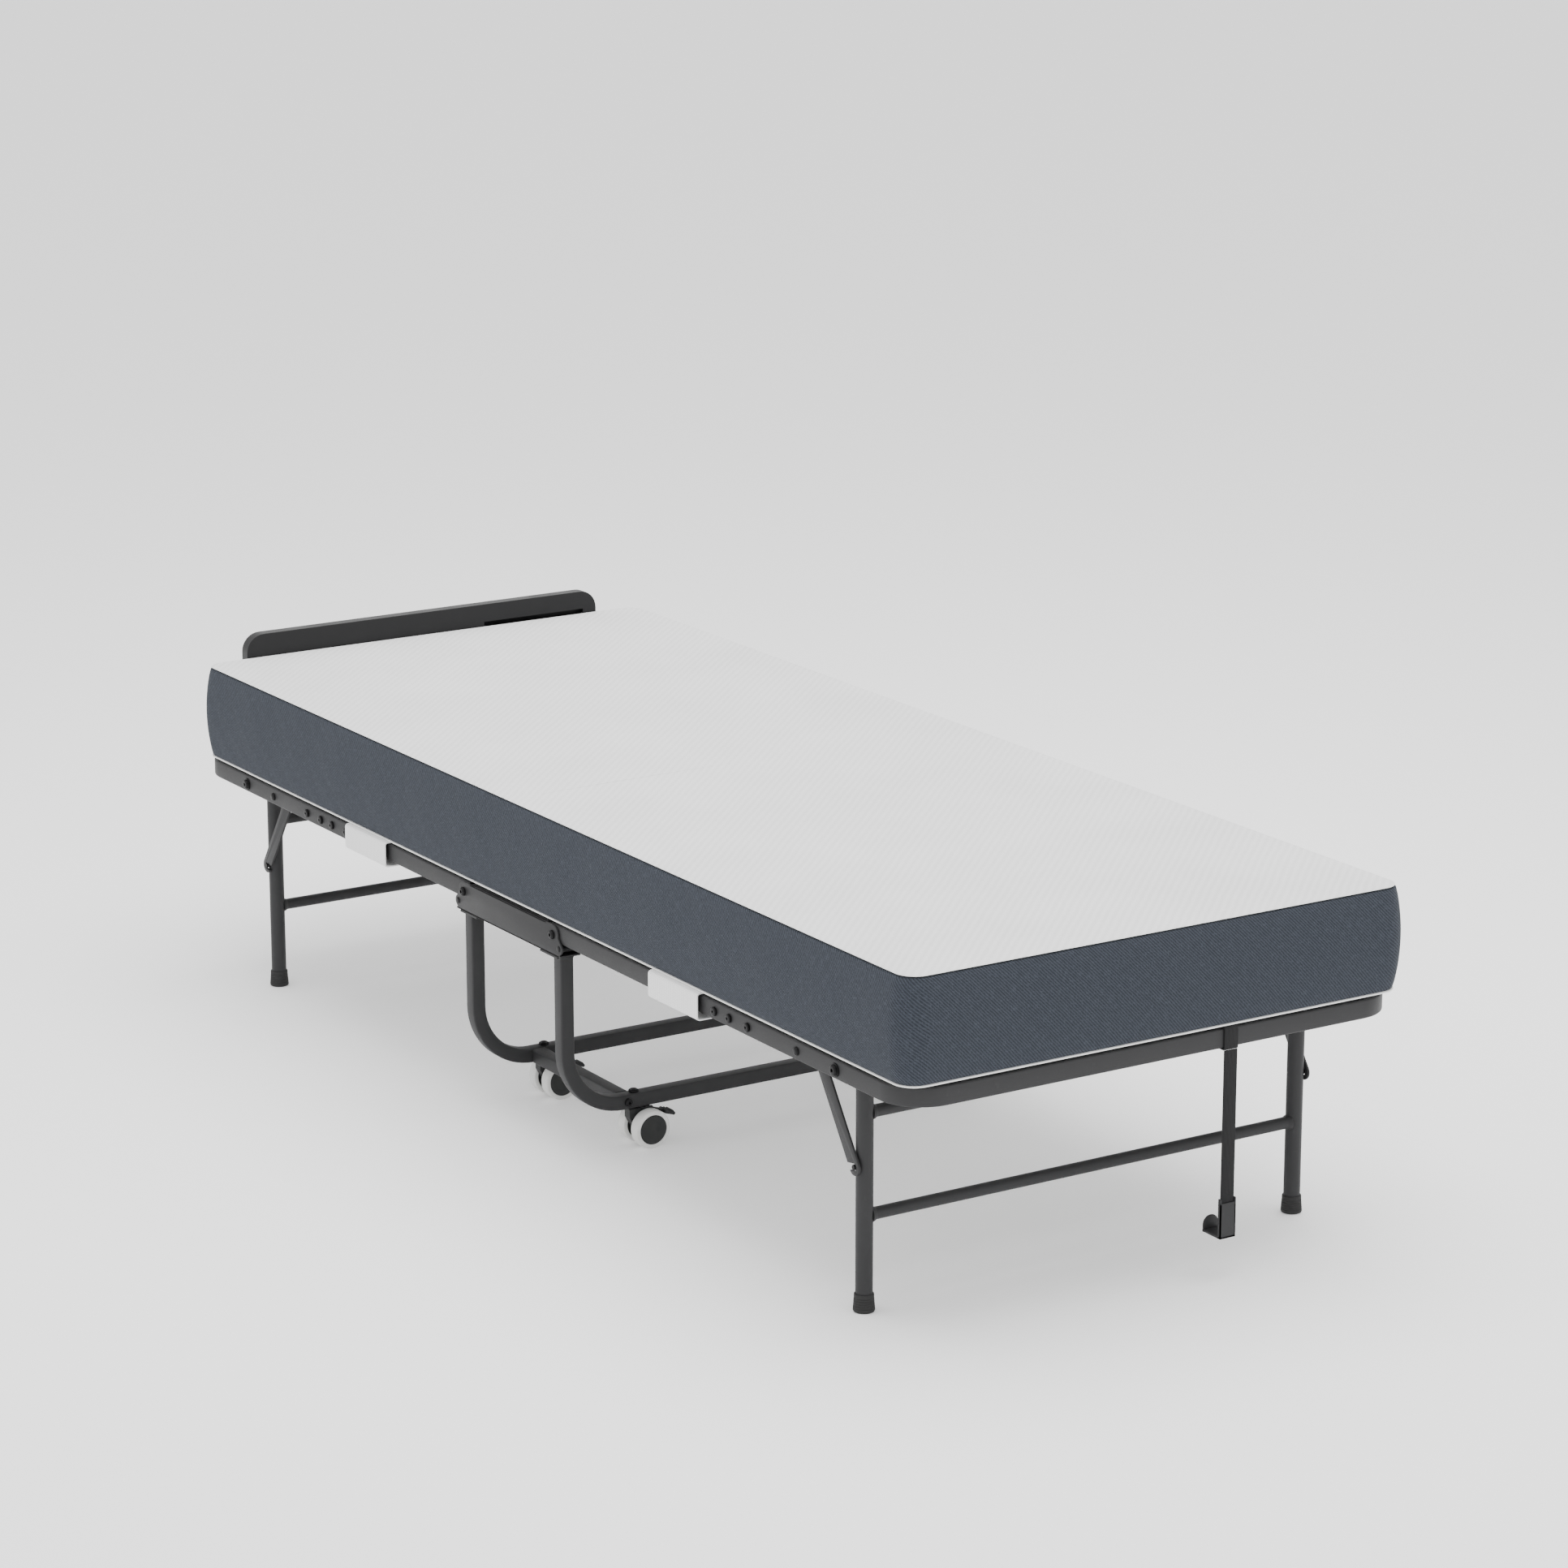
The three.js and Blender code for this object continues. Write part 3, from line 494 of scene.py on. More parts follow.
def pivot_channel(side):
    """Folded channel between the half frames: lobed cheeks, web, top strip, stop pins and studs."""
    high = span(f"pivot_channel_{side}")[1]
    s = SIDES[side]
    head, foot, reach = PIVOT_X["head"], PIVOT_X["foot"], 16.1 * MM
    bottom, stop_z, lobe = 290.5 * MM, 302.4 * MM, 14 * MM
    outline = [(head - reach, bottom), (foot + reach, bottom)]
    outline += arc(foot + reach, stop_z, 8 * MM, -60, 60) + arc(foot, PIVOT_Z, lobe, -10, 90)
    outline += arc(head, PIVOT_Z, lobe, 90, 190) + arc(head - reach, stop_z, 8 * MM, 120, 240)
    outer, inner = s * CHEEK_OUTER, s * CHEEK_INNER
    cheeks = [sorted((outer, outer - s * 3 * MM)), sorted((inner, inner + s * 2.6 * MM))]
    across = sorted((outer, inner))
    parts = [(*plate("xz", outline, *cheek, 0.7 * MM), 0) for cheek in cheeks]
    web = (head - reach - 4 * MM, foot + reach + 4 * MM)
    parts.append((*bar(web, across, (bottom, bottom + 2.6 * MM)), 0))
    parts.append((*bar((head + 18 * MM, foot - 18 * MM), across, (high[2] - 2.6 * MM, high[2])), 0))
    for pivot, out in ((head, -1), (foot, 1)):
        pin = (pivot + out * reach, stop_z)
        parts.append((*turned("y", pin, [(inner + s * MM, 5.3 * MM), (outer - s * MM, 5.3 * MM)]), 1))
        dome = ((-1, 4.5), (0.4, 4.5), (1.1, 3.9), (1.5, 2.6))
        rivet = [(outer + s * rise * MM, r * MM) for rise, r in dome]
        parts.append((*turned("y", pin, rivet), 1))
        stud = (pivot - out * 22.5 * MM, s * 364.8 * MM)
        parts.append((*turned("z", stud, [(283.2 * MM, 5.5 * MM, 6), (286.9 * MM, 5.5 * MM, 6),
                                          (286.91 * MM, 3 * MM), (291.5 * MM, 3 * MM)], 24), 1))
    piece = build(f"pivot_channel_{side}_plate", parts, [COAT, BOLT])
    return install(piece, "base", "frame_coat", f"pivot_channel_{side}")


def socket_head(seat, top, radius, key=2.6 * MM):
    """Stations of a domed head from its seat to a six-sided socket in its top."""
    rise = top - seat
    return [(seat, radius), (seat + 0.45 * rise, radius), (seat + 0.75 * rise, radius * 0.93),
            (seat + 0.93 * rise, radius * 0.8), (top, radius * 0.62), (top, key, 6),
            (seat + 0.4 * rise, key * 0.98, 6)]


def leg_bolt(end, side):
    """Washer and socket head outside, spacer between rail and leg, and a nut inside the leg."""
    node, s = f"leg_bolt_{end}_{side}", SIDES[side]
    shank = [(318.4, 6.5, 6), (322.7, 6.5, 6), (322.71, 4), (345.3, 4), (345.3, 7), (352, 7), (352.01, 4),
             (377.6, 4), (377.6, 9), (378.9, 9), (379.1, 8.6)]
    stations = [(s * place * MM, *(v if k else v * MM for k, v in enumerate(rest)))
                for place, *rest in shank]
    stations += [(s * place, *rest) for place, *rest in socket_head(379.1 * MM, 382.6 * MM, 7.2 * MM)]
    piece = build(f"{node}_turned", [(*turned("y", (LEG_X[end], LEG_Z), stations, 36), 0)], [BOLT])
    return install(piece, f"{end}_frame", "fastener", node)


def fold_bolt(end, side):
    """Pivot bolt of a half: six-sided nut, 4 mm radius shank and socket head, turned about Y."""
    node, s = f"fold_bolt_{end}_{side}", SIDES[side]
    shank = [(344.9, 6.6, 6), (349.1, 6.6, 6), (349.11, 4), (380.9, 4)]
    stations = [(s * place * MM, *(v if k else v * MM for k, v in enumerate(rest)))
                for place, *rest in shank]
    stations += [(s * place, *rest) for place, *rest in socket_head(380.9 * MM, 385.2 * MM, 6.2 * MM)]
    piece = build(f"{node}_turned", [(*turned("y", (PIVOT_X[end], PIVOT_Z), stations, 36), 0)], [BOLT])
    return install(piece, "base", "fastener", node)


def link_rod(side):
    """Long bolt through both hoops and the link bar, nut at the head end."""
    node = f"link_rod_{side}"
    low, high = span(node)
    place = centre(node)[1:]
    stations = [(low[0], 2.6 * MM), (low[0] + 0.5 * MM, 3 * MM), (low[0] + 0.51 * MM, 5.6 * MM, 6),
                (low[0] + 4.2 * MM, 5.9 * MM, 6), (low[0] + 4.21 * MM, 3 * MM), (high[0] - 3.7 * MM, 3 * MM)]
    stations += socket_head(high[0] - 3.7 * MM, high[0], 6 * MM, 2.2 * MM)
    piece = build(f"{node}_turned", [(*turned("x", place, stations, 36), 0)], [BOLT])
    return install(piece, "base", "fastener", node)


def leg_frame(end):
    """Two round tubes, two crossbars that flare into weld beads, and a brace pin on each leg."""
    x = LEG_X[end]
    top, bottom = 330 * MM, 4 * MM
    radius, bar_radius, leg_y = 11 * MM, 8 * MM, 334 * MM
    parts = []
    outer, inner = circle(radius, 40), circle(radius - TUBE_WALL, 40)
    for s in SIDES.values():
        path = [(x, s * leg_y, bottom), (x, s * leg_y, top)]
        parts.append((*hollow(path, [(1, 0, 0)] * 2, (0, 1, 0), outer, inner), 0))
        pin = [(s * 340 * MM, 3.5 * MM), (s * 350.4 * MM, 3.5 * MM), (s * 351 * MM, 2.9 * MM)]
        parts.append((*turned("y", (x, 190 * MM), pin), 1))
    reach = leg_y - radius
    for level in (257.5 * MM, 124.8 * MM):
        flare = [(reach - 5 * MM, 0), (reach - 2.5 * MM, 0.6 * MM), (reach - 0.8 * MM, 1.8 * MM),
                 (reach + 3 * MM, 2.6 * MM)]
        stations = [(-y, bar_radius + grow) for y, grow in reversed(flare)]
        stations += [(y, bar_radius + grow) for y, grow in flare]
        parts.append((*turned("y", (x, level), stations, 32), 0))
    piece = build(f"leg_frame_{end}_tube", parts, [COAT, BOLT])
    return install(piece, f"{end}_legs", "frame_coat", f"leg_frame_{end}")


def foot_cap(end, side):
    """Ribbed rubber cap with a rounded foot and an open mouth round the leg."""
    node = f"foot_cap_{end}_{side}"
    place = centre(node)[:2]
    stations = [(0, 11.5), (0.6, 13.2), (2.2, 14)]
    for ring in range(5):
        base = 5 + 3.2 * ring
        taper = 0.26 * ring
        stations += [(base, 13.9 - taper), (base + 0.7, 13.3 - taper), (base + 1.4, 13.85 - taper)]
    stations += [(22.6, 12.7), (23.6, 12.4), (24, 11.9), (23.8, 11.3), (3.7, 11.3)]
    stations = [(z * MM, r * MM) for z, r in stations]
    piece = build(f"{node}_moulded", [(*turned("z", place, stations, 36), 0)], [RUBBER])
    return install(piece, f"{end}_legs", "foot_rubber", node)


def brace(end, side):
    """Flat bar with round ends: rivet and spacer at the top, open slot at the hooked lower end."""
    node, s, sign = f"brace_{end}_{side}", SIDES[side], ENDS[end]
    half, reach, drop = 11 * MM, 87 * MM, 130 * MM
    slant = math.degrees(math.atan2(-drop, reach))
    slot, tilt = 4.5 * MM, math.radians(9)
    along = np.array([-math.cos(tilt), -math.sin(tilt)])
    across = np.array([-math.sin(tilt), math.cos(tilt)])
    pin = np.array([reach, -drop])
    edge_direction = np.array([math.cos(math.radians(slant)), math.sin(math.radians(slant))])
    edge_normal = np.array([edge_direction[1], -edge_direction[0]])

    def mouth(offset):
        """Where a wall of the slot meets the inner long edge of the bar."""
        start = pin + offset * across
        step = (half - start @ edge_normal) / (along @ edge_normal)
        return tuple(start + step * along)

    outline = arc(0, 0, half, slant + 90, slant + 270, 14)
    outline.append(mouth(slot))
    outline += [tuple(pin + slot * np.array([math.cos(a), math.sin(a)]))
                for a in np.radians(np.linspace(99, -81, 11))]
    lower = mouth(-slot)
    outer_end = arc(reach, -drop, half, slant - 90, slant + 90, 16)
    outline.append(lower)
    for point in outer_end:
        from_pin = np.array(point) - pin
        if from_pin @ across < -slot or from_pin @ along < 0:
            outline.append(point)
    top = np.array([LEG_X[end] - sign * reach, LEG_Z])
    flat = [(top[0] + sign * u, top[1] + w) for u, w in outline]
    faces = sorted((s * 346.6 * MM, s * 349.6 * MM))
    shank = [(347.6, 6.5), (352, 6.5), (352.01, 3.5), (377.6, 3.5), (377.6, 5.7), (378.9, 5.7), (380.1, 4.9),
             (380.8, 3.2)]
    rivet = turned("y", top, [(s * y * MM, r * MM) for y, r in shank])
    piece = build(f"{node}_plate", [(*plate("xz", flat, *faces, 0.5 * MM), 0), (*rivet, 1)], [COAT, BOLT])
    return install(piece, f"brace_{end}_{side}", "frame_coat", node)


def deck(end):
    """Cross slats on two ties, tabs down the inside of the rails and rivet heads outside them."""
    rivets = {"head": (493.0, 536.8, 571.9, 615.5), "foot": (472.5, 516.0, 550.9, 594.4)}[end]
    slats = {"head": (181, 261, 341, 514.9, 593.7, 673, 753, 833, 913),
             "foot": (155, 235, 315, 501.5, 572.7, 652, 732, 812, 892)}[end]
    sign = ENDS[end]
    shift = LEG_X["foot"] - 795 * MM
    across = lambda a, b: sorted((sign * a * MM + shift, sign * b * MM + shift))
    top = span(f"{end}_deck")[1][2]
    parts = [(*bar(across(u - 15, u + 15), (-0.364, 0.364), (top - 2 * MM, top), 0.5 * MM), 0) for u in slats]
    for y in (-0.15, 0.15):
        ends = across(slats[0] - 8, slats[-1] + 8)
        parts.append((*bar(ends, (y - 0.01, y + 0.01), (top - 3.6 * MM, top - 1.6 * MM), 0.5 * MM), 0))
    for s in SIDES.values():
        for first, second in (rivets[:2], rivets[2:]):
            tab = sorted((s * 349.4 * MM, s * 352 * MM))
            ends = across(first - 10, second + 10)
            parts.append((*bar(ends, tab, (310 * MM, top - 1.6 * MM), 0.5 * MM), 0))
        for u in rivets:
            place = (sign * u * MM + shift, LEG_Z)
            shank = [(350.4, 3), (377.6, 3), (377.6, 6), (379, 6)]
            stations = [(s * y * MM, r * MM) for y, r in shank]
            stations += [(s * y, *rest) for y, *rest in socket_head(379 * MM, 380.9 * MM, 6 * MM, 1.9 * MM)]
            parts.append((*turned("y", place, stations), 1))
    piece = build(f"{end}_deck_slats", parts, [COAT, BOLT])
    return install(piece, f"{end}_frame", "frame_coat", f"{end}_deck")


# ---- casters ---------------------------------------------------------------------------------
def caster_wheel(end, side, which):
    """Rounded pale tread on a dark hub: domed cap outside, dished web inside."""
    node = f"caster_wheel_{end}_{side}_{which}"
    low, high = span(node)
    place = ((low[1] + high[1]) / 2, (low[2] + high[2]) / 2)
    out = 1 if which == "b" else -1
    face = (high[0] if out > 0 else low[0])
    radius = (high[2] - low[2]) / 2
    x = lambda depth: face - out * depth * MM
    r = lambda value: value * MM
    tread = [(0.9, 6.2), (0.3, 5), (0.2, 3.2), (1.1, 1.2), (3.4, 0), (15.6, 0), (17.9, 1.2), (18.8, 3.2),
             (18.8, 6), (15.5, 6.4)]
    tread = [(x(depth), radius - r(inset)) for depth, inset in tread]
    hub = [(x(0.9), 0), (x(0), r(2)), (x(0.1), r(12)), (x(0.5), radius - r(7.5)), (x(1.2), radius - r(6.6)),
           (x(1.6), radius - r(6.2))]
    web = [(x(15), radius - r(6.6)), (x(14.2), r(16)), (x(14.4), r(9)), (x(18.9), r(7)), (x(18.9), r(4.2)),
           (x(8), r(4.2)), (x(8), 0)]
    stations = hub + tread + web
    last_hub, first_web = len(hub) - 1, len(hub) + len(tread) - 1
    slots = bands(stations, lambda i: 0 if last_hub <= i < first_web else 1, 48)
    points, faces = turned("x", place, stations, 48)
    piece = build(f"{node}_turned", [(points, faces, slots)], [TREAD, NYLON])
    return install(piece, f"wheel_{end}_{side}_{which}", "wheel_tread", node)


def caster_stem(end, side):
    """Stem turned about Z: shank, swivel collar, nut above the bar and a rounded tip."""
    node = f"caster_stem_{end}_{side}"
    place = centre(node)[:2]
    shape = [(37, 4), (54.9, 4), (54.91, 9.2), (56.7, 9.5), (56.71, 4), (77.3, 4), (77.31, 6.9, 6),
             (80.4, 7, 6), (81.3, 6, 6), (81.31, 4), (82.0, 3.6), (82.3, 3)]
    stations = [(z * MM, r * MM, *flats) for z, r, *flats in shape]
    piece = build(f"{node}_turned", [(*turned("z", place, stations, 36), 0)], [BOLT])
    return install(piece, "base", "fastener", node)


def soften(node, name, body, slot, material, width):
    """A CAD piece with rounded edges: a copy of its mesh is merged, then a bevel cuts each edge.

    Triangles that lie within half a degree of one another are joined first, so the bevel meets
    only real edges.
    """
    mesh = bpy.data.meshes.new(name)
    work = bmesh.new()
    work.from_mesh(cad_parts[node].data)
    bmesh.ops.remove_doubles(work, verts=work.verts, dist=1e-6)
    bmesh.ops.dissolve_limit(work, angle_limit=math.radians(0.5), verts=work.verts, edges=work.edges)
    work.to_mesh(mesh)
    work.free()
    mesh.materials.clear()
    mesh.materials.append(material)
    mesh.polygons.foreach_set("material_index", np.zeros(len(mesh.polygons), np.int32))
    mesh.polygons.foreach_set("use_smooth", np.ones(len(mesh.polygons), bool))
    mesh.set_sharp_from_angle(angle=SMOOTH_ANGLE)
    piece = bpy.data.objects.new(name, mesh)
    bpy.context.scene.collection.objects.link(piece)
    bevel = piece.modifiers.new("soft_edges", "BEVEL")
    bevel.width = width
    bevel.segments = 2
    bevel.limit_method = "ANGLE"
    bevel.angle_limit = math.radians(40)
    return install(piece, body, slot, node)


# ---- cloth bands and latch -------------------------------------------------------------------
def polyline_with_arcs(corners, radius, steps=5):
    """Open path through corners, each inner corner rounded by an arc of the given radius."""
    corners = [np.array(c, float) for c in corners]
    path = [corners[0]]
    for before, corner, after in zip(corners, corners[1:], corners[2:]):
        a, b = before - corner, after - corner
        a, b = a / np.linalg.norm(a), b / np.linalg.norm(b)
        half = math.acos(float(np.clip(a @ b, -1, 1))) / 2
        reach = radius / math.tan(half)
        heart = corner + (a + b) / np.linalg.norm(a + b) * radius / math.sin(half)
        first, last = corner + a * reach - heart, corner + b * reach - heart
        for t in np.linspace(0, 1, steps + 1):
            bend = first * (1 - t) + last * t
            path.append(heart + bend / np.linalg.norm(bend) * radius)
    path.append(corners[-1])
    return np.array(path)


def strip(path, thick, low, high, closed=False, axis=0, edge=0.5 * MM):
    """A band of cloth: a flat rounded section between low and high, carried along a 2D path."""
    ahead = np.roll(path, -1, 0) - path
    behind = path - np.roll(path, 1, 0)
    if not closed:
        ahead[-1], behind[0] = behind[-1], ahead[0]
    unit = lambda v: v / np.linalg.norm(v, axis=1, keepdims=True)
    along = unit(unit(ahead) + unit(behind))
    normal = np.stack([-along[:, 1], along[:, 0]], -1)
    others = [k for k in range(3) if k != axis]
    points, normals = np.zeros((len(path), 3)), np.zeros((len(path), 3))
    points[:, others], normals[:, others] = path, normal
    points[:, axis] = (low + high) / 2
    across = np.eye(3)[axis]
    section = rounded_square(thick, high - low, edge)
    return skin(sweep(points, normals, across, section), loop=closed)


def band_path(node):
    """Middle line of the retaining band in the YZ plane, from one underside end to the other."""
    low, high = span(node)
    half = 1.1 * MM
    outer, bottom, top = high[1] - half, low[2] + half, high[2] - half
    far = [(352 * MM, bottom + 1.5 * MM), (362 * MM, bottom), (outer, bottom), (outer, top)]
    near = [(-y, z) for y, z in reversed(far)]
    return polyline_with_arcs(far + near, 4 * MM)


def rail_band(end):
    """Elastic band under the mattress and round both side rails: a flat section along the path."""
    node = f"rail_band_{end}"
    low, high = span(node)
    path = band_path(node)
    thick = 2.0 * MM
    parts = [(*strip(path, thick, low[0], high[0]), 0)]
    piece = build(f"{node}_cloth", parts, [ELASTIC])
    install(piece, f"{end}_frame", "band_cloth", node)
    return piece


def latch_webbing():
    """Loop of webbing once round the foot rail, and the straight strap that hangs from it."""
    low, high = span("latch_loop")
    thick = 2.2 * MM
    half = thick / 2
    x0, x1, z0, z1 = low[0] + half, high[0] - half, low[2] + half, high[2] - half
    middle = (x0 + x1) / 2
    corners = [(middle, z1), (x0, z1), (x0, z0), (x1, z0), (x1, z1), (middle, z1)]
    path = polyline_with_arcs(corners, 1.3 * MM)[:-1]
    loop = strip(path, thick, low[1], high[1], closed=True, axis=1)
    piece = build("latch_loop_webbing", [(*loop, 0)], [WEBBING])
    install(piece, "foot_frame", "webbing", "latch_loop")
    low, high = span("latch_strap")
    x = (low[0] + high[0]) / 2
    tail = np.array([(x, z) for z in np.linspace(high[2], low[2], 24)])
    strap = strip(tail, thick, low[1], high[1], axis=1)
    piece = build("latch_strap_webbing", [(*strap, 0)], [WEBBING])
    install(piece, "latch", "webbing", "latch_strap")


def latch_hook():
    """Sheet-metal hook: sleeve round the strap's end, floor and half-round lip."""
    low, high = span("latch_hook")
    sheet = 1.6 * MM
    front = (high[0] - sheet, high[0])
    back = span("latch_strap")[0][0] - 1 * MM
    y0, y1 = low[1], high[1]
    front_top = 105 * MM
    lip = [(y0, low[2]), (y1, low[2])] + arc((y0 + y1) / 2, low[2] + 9 * MM, (y1 - y0) / 2, 0, 180, 20)
    parts = [bar(front, (y0, y1), (low[2], front_top)),
             bar((back, high[0]), (y0, y0 + sheet), (low[2], high[2])),
             bar((back, high[0]), (y1 - sheet, y1), (low[2], high[2])),
             bar((low[0], high[0]), (y0, y1), (low[2], low[2] + 3.2 * MM)),
             plate("yz", lip, low[0], low[0] + 2.24 * MM, 0.6 * MM)]
    piece = build("latch_hook_sheet", [(*part, 0) for part in parts], [COAT])
    return install(piece, "latch", "frame_coat", "latch_hook")


# ---- mattress --------------------------------------------------------------------------------
BULGE = 9 * MM
CORNER = 28 * MM
PIPING_RADIUS = 1.1 * MM
CROWN = 2 * MM
CROWN_REACH = 60 * MM
TOP_CLOTH, SEAM, SIDE, PIPE, UNDER = range(5)


def side_profile(bottom, top):
    """Rows from the top cover's edge to the underside: outward offsets, heights and materials.

    The side panel swells by sin(pi t) ** 0.75 between its seams, and the piping is an arc.
    """
    shoulder = np.array([(-28, 1.5), (-16, 1.5), (-8, 1.5), (-4, 1.4), (-1.6, 0.9), (-0.6, 0.2)]) * MM
    shoulder[:, 1] += top
    groove = np.array([(-1.6 * MM, top - 0.6 * MM), (-1.5 * MM, top - 1.8 * MM)])
    high, low = top - 2.2 * MM, bottom + 2 * PIPING_RADIUS + 0.4 * MM
    t = np.linspace(0.01, 0.99, 15)
    panel = np.stack([BULGE * np.sin(math.pi * t) ** 0.75, high + (low - high) * t], -1)
    neck = np.array([(-1.2 * MM, low - 0.2 * MM)])
    turn = np.radians(np.linspace(70, -90, 8))
    bead = np.stack([0.4 * MM + PIPING_RADIUS * np.cos(turn),
                     bottom + PIPING_RADIUS * (1 + np.sin(turn))], -1)
    base = np.array([(-4 * MM, bottom), (-CORNER, bottom)])
    rows = np.concatenate([shoulder, groove, panel, neck, bead, base])
    zones = [TOP_CLOTH] * 5 + [SEAM] * 2 + [SIDE] * 16 + [PIPE] * 8 + [UNDER] * 3
    return rows[:, 0], rows[:, 1], np.array(zones)


def edge_walk(length, half_width, step=11 * MM, corner_steps=10):
    """Plan outline of one half from the bed's middle round its end: points, outward normals."""
    straight = np.linspace(0, length - CORNER, int(length / step))
    ends = np.linspace(-half_width + CORNER, half_width - CORNER, int(2 * half_width / step))
    near = np.stack([straight, np.full(len(straight), -half_width)], -1)
    end = np.stack([np.full(len(ends), length), ends], -1)
    turns = [np.array(arc(0, 0, 1, first, first + 90, corner_steps))[1:-1] for first in (-90, 0)]
    hearts = [np.array([length - CORNER, side * (half_width - CORNER)]) for side in (-1, 1)]
    corners = [heart + CORNER * turn for heart, turn in zip(hearts, turns)]
    points = np.concatenate([near, corners[0], end, corners[1], near[::-1] * (1, -1)])
    facing = [np.tile((0.0, -1.0), (len(near), 1)), turns[0], np.tile((1.0, 0.0), (len(end), 1)), turns[1],
              np.tile((0.0, 1.0), (len(near), 1))]
    return points, np.concatenate(facing), straight, ends


def side_reach(offset, height, zones, along, swell, bottom, top):
    """How far each row stands out at each step of the walk.

    A row of the panel reaches offset * swell, plus wrinkles (two sines of the distance walked) and
    puckers that fade over 9 mm from the seams. Piping keeps its offset except behind the board.
    """
    wrinkle = (0.5 * np.sin(along / 0.047) + 0.4 * np.sin(along / 0.021 + 1.7)) * MM * swell
    pucker = 0.35 * MM * np.sin(along * TAU / 0.017) * swell
    reach = np.repeat(offset[:, None], len(along), 1)
    near_seam = np.exp(-np.minimum(top - height, height - bottom) / (9 * MM))
    panel = (zones == SIDE) & (offset > 0)
    swollen = (offset[:, None] * np.maximum(swell, 0.02) + wrinkle * offset[:, None] / BULGE
               + pucker * near_seam[:, None])
    bound = (zones >= PIPE) & (offset > 0)
    reach[panel] = swollen[panel]
    reach[bound] *= np.maximum(swell, 0.15)
    return reach


def crown(points, length, half_width):
    """Rise of the top: 2 mm * (1 - exp(-d / 60 mm)), d being the distance in from the corners."""
    edge = np.minimum(half_width - np.abs(points[..., 1]), length - points[..., 0])
    ease = 1 - np.exp(-np.maximum(edge - CORNER, 0) / CROWN_REACH)
    dimple = np.sin(points[..., 0] / 0.21 + 0.6) * np.sin(points[..., 1] / 0.17 + 0.3)
    return ease * (CROWN + 0.5 * MM * dimple)


def mattress_half(end):
    """Half of the mattress, from the bed's middle to one end.

    Vertex (row r, step c) of the border = walk[c] + reach[r, c] * normal[c] at height[r]. The top
    and the underside are flat grids inside it, and the wall at the middle is one polygon.
    """
    node = f"mattress_{end}"
    low, high = span(node)
    sign = ENDS[end]
    length = abs((high[0] if sign > 0 else low[0]) - MIDDLE_X)
    half_width = (high[1] - low[1]) / 2
    bottom, top = low[2], high[2]
    walk, normal, straight, ends = edge_walk(length, half_width)
    offset, height, zones = side_profile(bottom, top)
    along = np.concatenate([[0], np.cumsum(np.linalg.norm(np.diff(walk, axis=0), axis=1))])
    swell = np.ones(len(walk))
    if end == "head":
        board = span("headboard")[1][1]
        clear = np.clip((np.abs(walk[:, 1]) - board) / (40 * MM), 0, 1)
        swell = np.where(normal[:, 0] > 0.1, clear, swell)
    reach = side_reach(offset, height, zones, along, swell, bottom, top)
    border = np.zeros((len(offset), len(walk), 3))
    border[..., :2] = walk + reach[..., None] * normal
    border[..., 2] = height[:, None]
    us, vs = np.meshgrid(straight, ends, indexing="ij")
    lid = np.stack([us, vs, np.full(us.shape, height[0])], -1)
    lid[..., 2] += crown(lid, length, half_width)
    base = np.stack([us, vs, np.full(us.shape, height[-1])], -1)
    sheet = quads(*us.shape).tolist()
    turn = np.array([sign, sign, 1])
    parts = []
    side_slots = np.repeat(zones[:-1], len(walk) - 1)
    for grid, faces, slot in ((border, quads(*border.shape[:2]).tolist(), side_slots),
                              (lid, sheet, TOP_CLOTH), (base, sheet, UNDER)):
        parts.append((grid.reshape(-1, 3) * turn + (MIDDLE_X, 0, 0), faces, slot))
    rest = np.concatenate([points for points, _, _ in parts])
    walked = np.concatenate([np.tile(along, len(offset)), np.zeros(2 * us.size)])
    # The second material, on the seam rows, is the painted shade of the seam's crease.
    piece = build(f"mattress_{end}_foam", parts, [KNIT, SEAM_SHADE, TWILL, PIPING, LINING],
                  {"rest": rest, "along": walked})
    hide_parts(node, *(["mattress_middle"] if end == "head" else []))
    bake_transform(piece)
    return piece


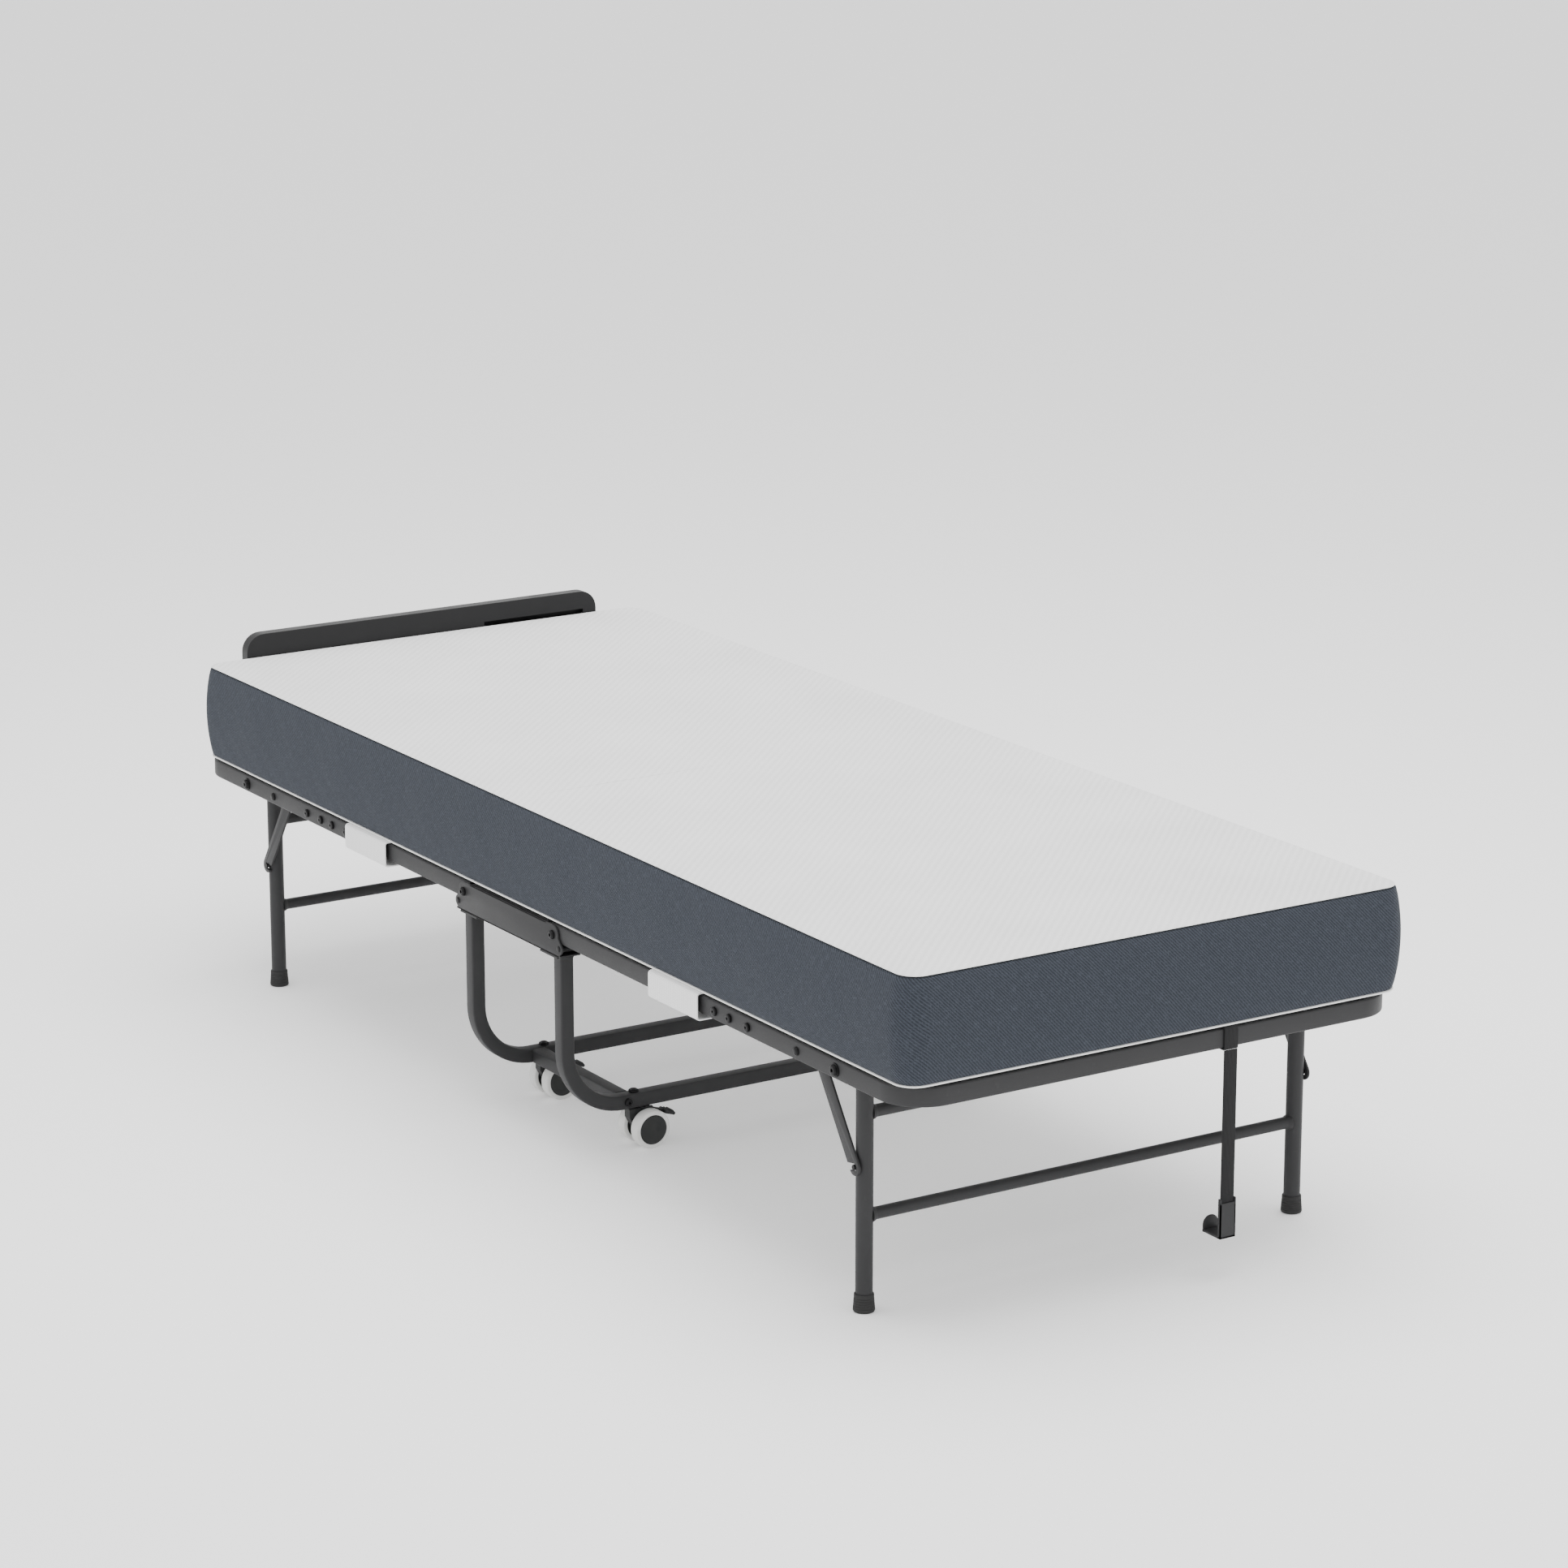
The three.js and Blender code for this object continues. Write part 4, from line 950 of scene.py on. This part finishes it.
# ---- stage -----------------------------------------------------------------------------------
def studio():
    """Pale floor, soft overhead and front lights, and the camera."""
    scene = bpy.context.scene
    floor_mesh = bpy.data.meshes.new("floor")
    reach = 40.0
    floor_mesh.from_pydata([(-reach, -reach, 0), (reach, -reach, 0), (reach, reach, 0), (-reach, reach, 0)],
                           [], [[0, 1, 2, 3]])
    floor = bpy.data.objects.new("floor", floor_mesh)
    scene.collection.objects.link(floor)
    material, *_ = start("floor_paint", Base_Color=linear("fafafa"), Roughness=0.8,
                         Emission_Color=(1, 1, 1, 1), Emission_Strength=0.2)
    floor_mesh.materials.append(material)
    world = bpy.data.worlds.new("studio")
    world.use_nodes = True
    world.node_tree.nodes["Background"].inputs["Color"].default_value = (1, 1, 1, 1)
    world.node_tree.nodes["Background"].inputs["Strength"].default_value = 1.4
    scene.world = world
    for name, place, size, power in (("over", (0.3, 0.2, 3.6), 4.0, 170),
                                     ("front", (-0.6, -4.2, 1.6), 3.0, 12),
                                     ("end", (4.2, 1.2, 1.8), 2.5, 8)):
        light = bpy.data.lights.new(name, "AREA")
        light.shape = "DISK"
        light.size = size
        light.energy = power
        lamp = bpy.data.objects.new(name, light)
        lamp.location = place
        aim = np.array([0, 0, 0.3]) - np.array(place)
        tilt = math.acos(-aim[2] / np.linalg.norm(aim))
        lamp.rotation_euler = (tilt, 0, math.atan2(aim[1], aim[0]) - math.pi / 2)
        scene.collection.objects.link(lamp)
    lens = bpy.data.cameras.new("view")
    lens.lens = 108.47
    lens.sensor_width = 36
    camera = bpy.data.objects.new("view", lens)
    camera.location = (5.3677, -3.3465, 2.1158)
    camera.rotation_euler = (math.radians(75.213), 0, math.radians(57.615))
    scene.collection.objects.link(camera)
    scene.camera = camera


# ---- assembly --------------------------------------------------------------------------------
for end in ENDS:
    rail_frame(end)
    upright_hoop(end)
    leg_frame(end)
    deck(end)
    rail_band(end)
    mattress_half(end)
    for side in SIDES:
        leg_bolt(end, side)
        fold_bolt(end, side)
        foot_cap(end, side)
        brace(end, side)
        caster_stem(end, side)
        place = f"{end}_{side}"
        soften(f"caster_body_{place}", f"caster_shell_{place}", f"caster_{place}", "nylon", NYLON, 0.8 * MM)
        soften(f"brake_lever_{place}", f"brake_pedal_{place}", f"lever_{place}", "nylon", NYLON, 0.5 * MM)
        for which in "ab":
            caster_wheel(end, side, which)
for side in SIDES:
    link_bar(side)
    link_rod(side)
    pivot_channel(side)
latch_webbing()
latch_hook()
soften("headboard", "head_board_moulding", "head_frame", "board", BOARD, 1.6 * MM)
studio()
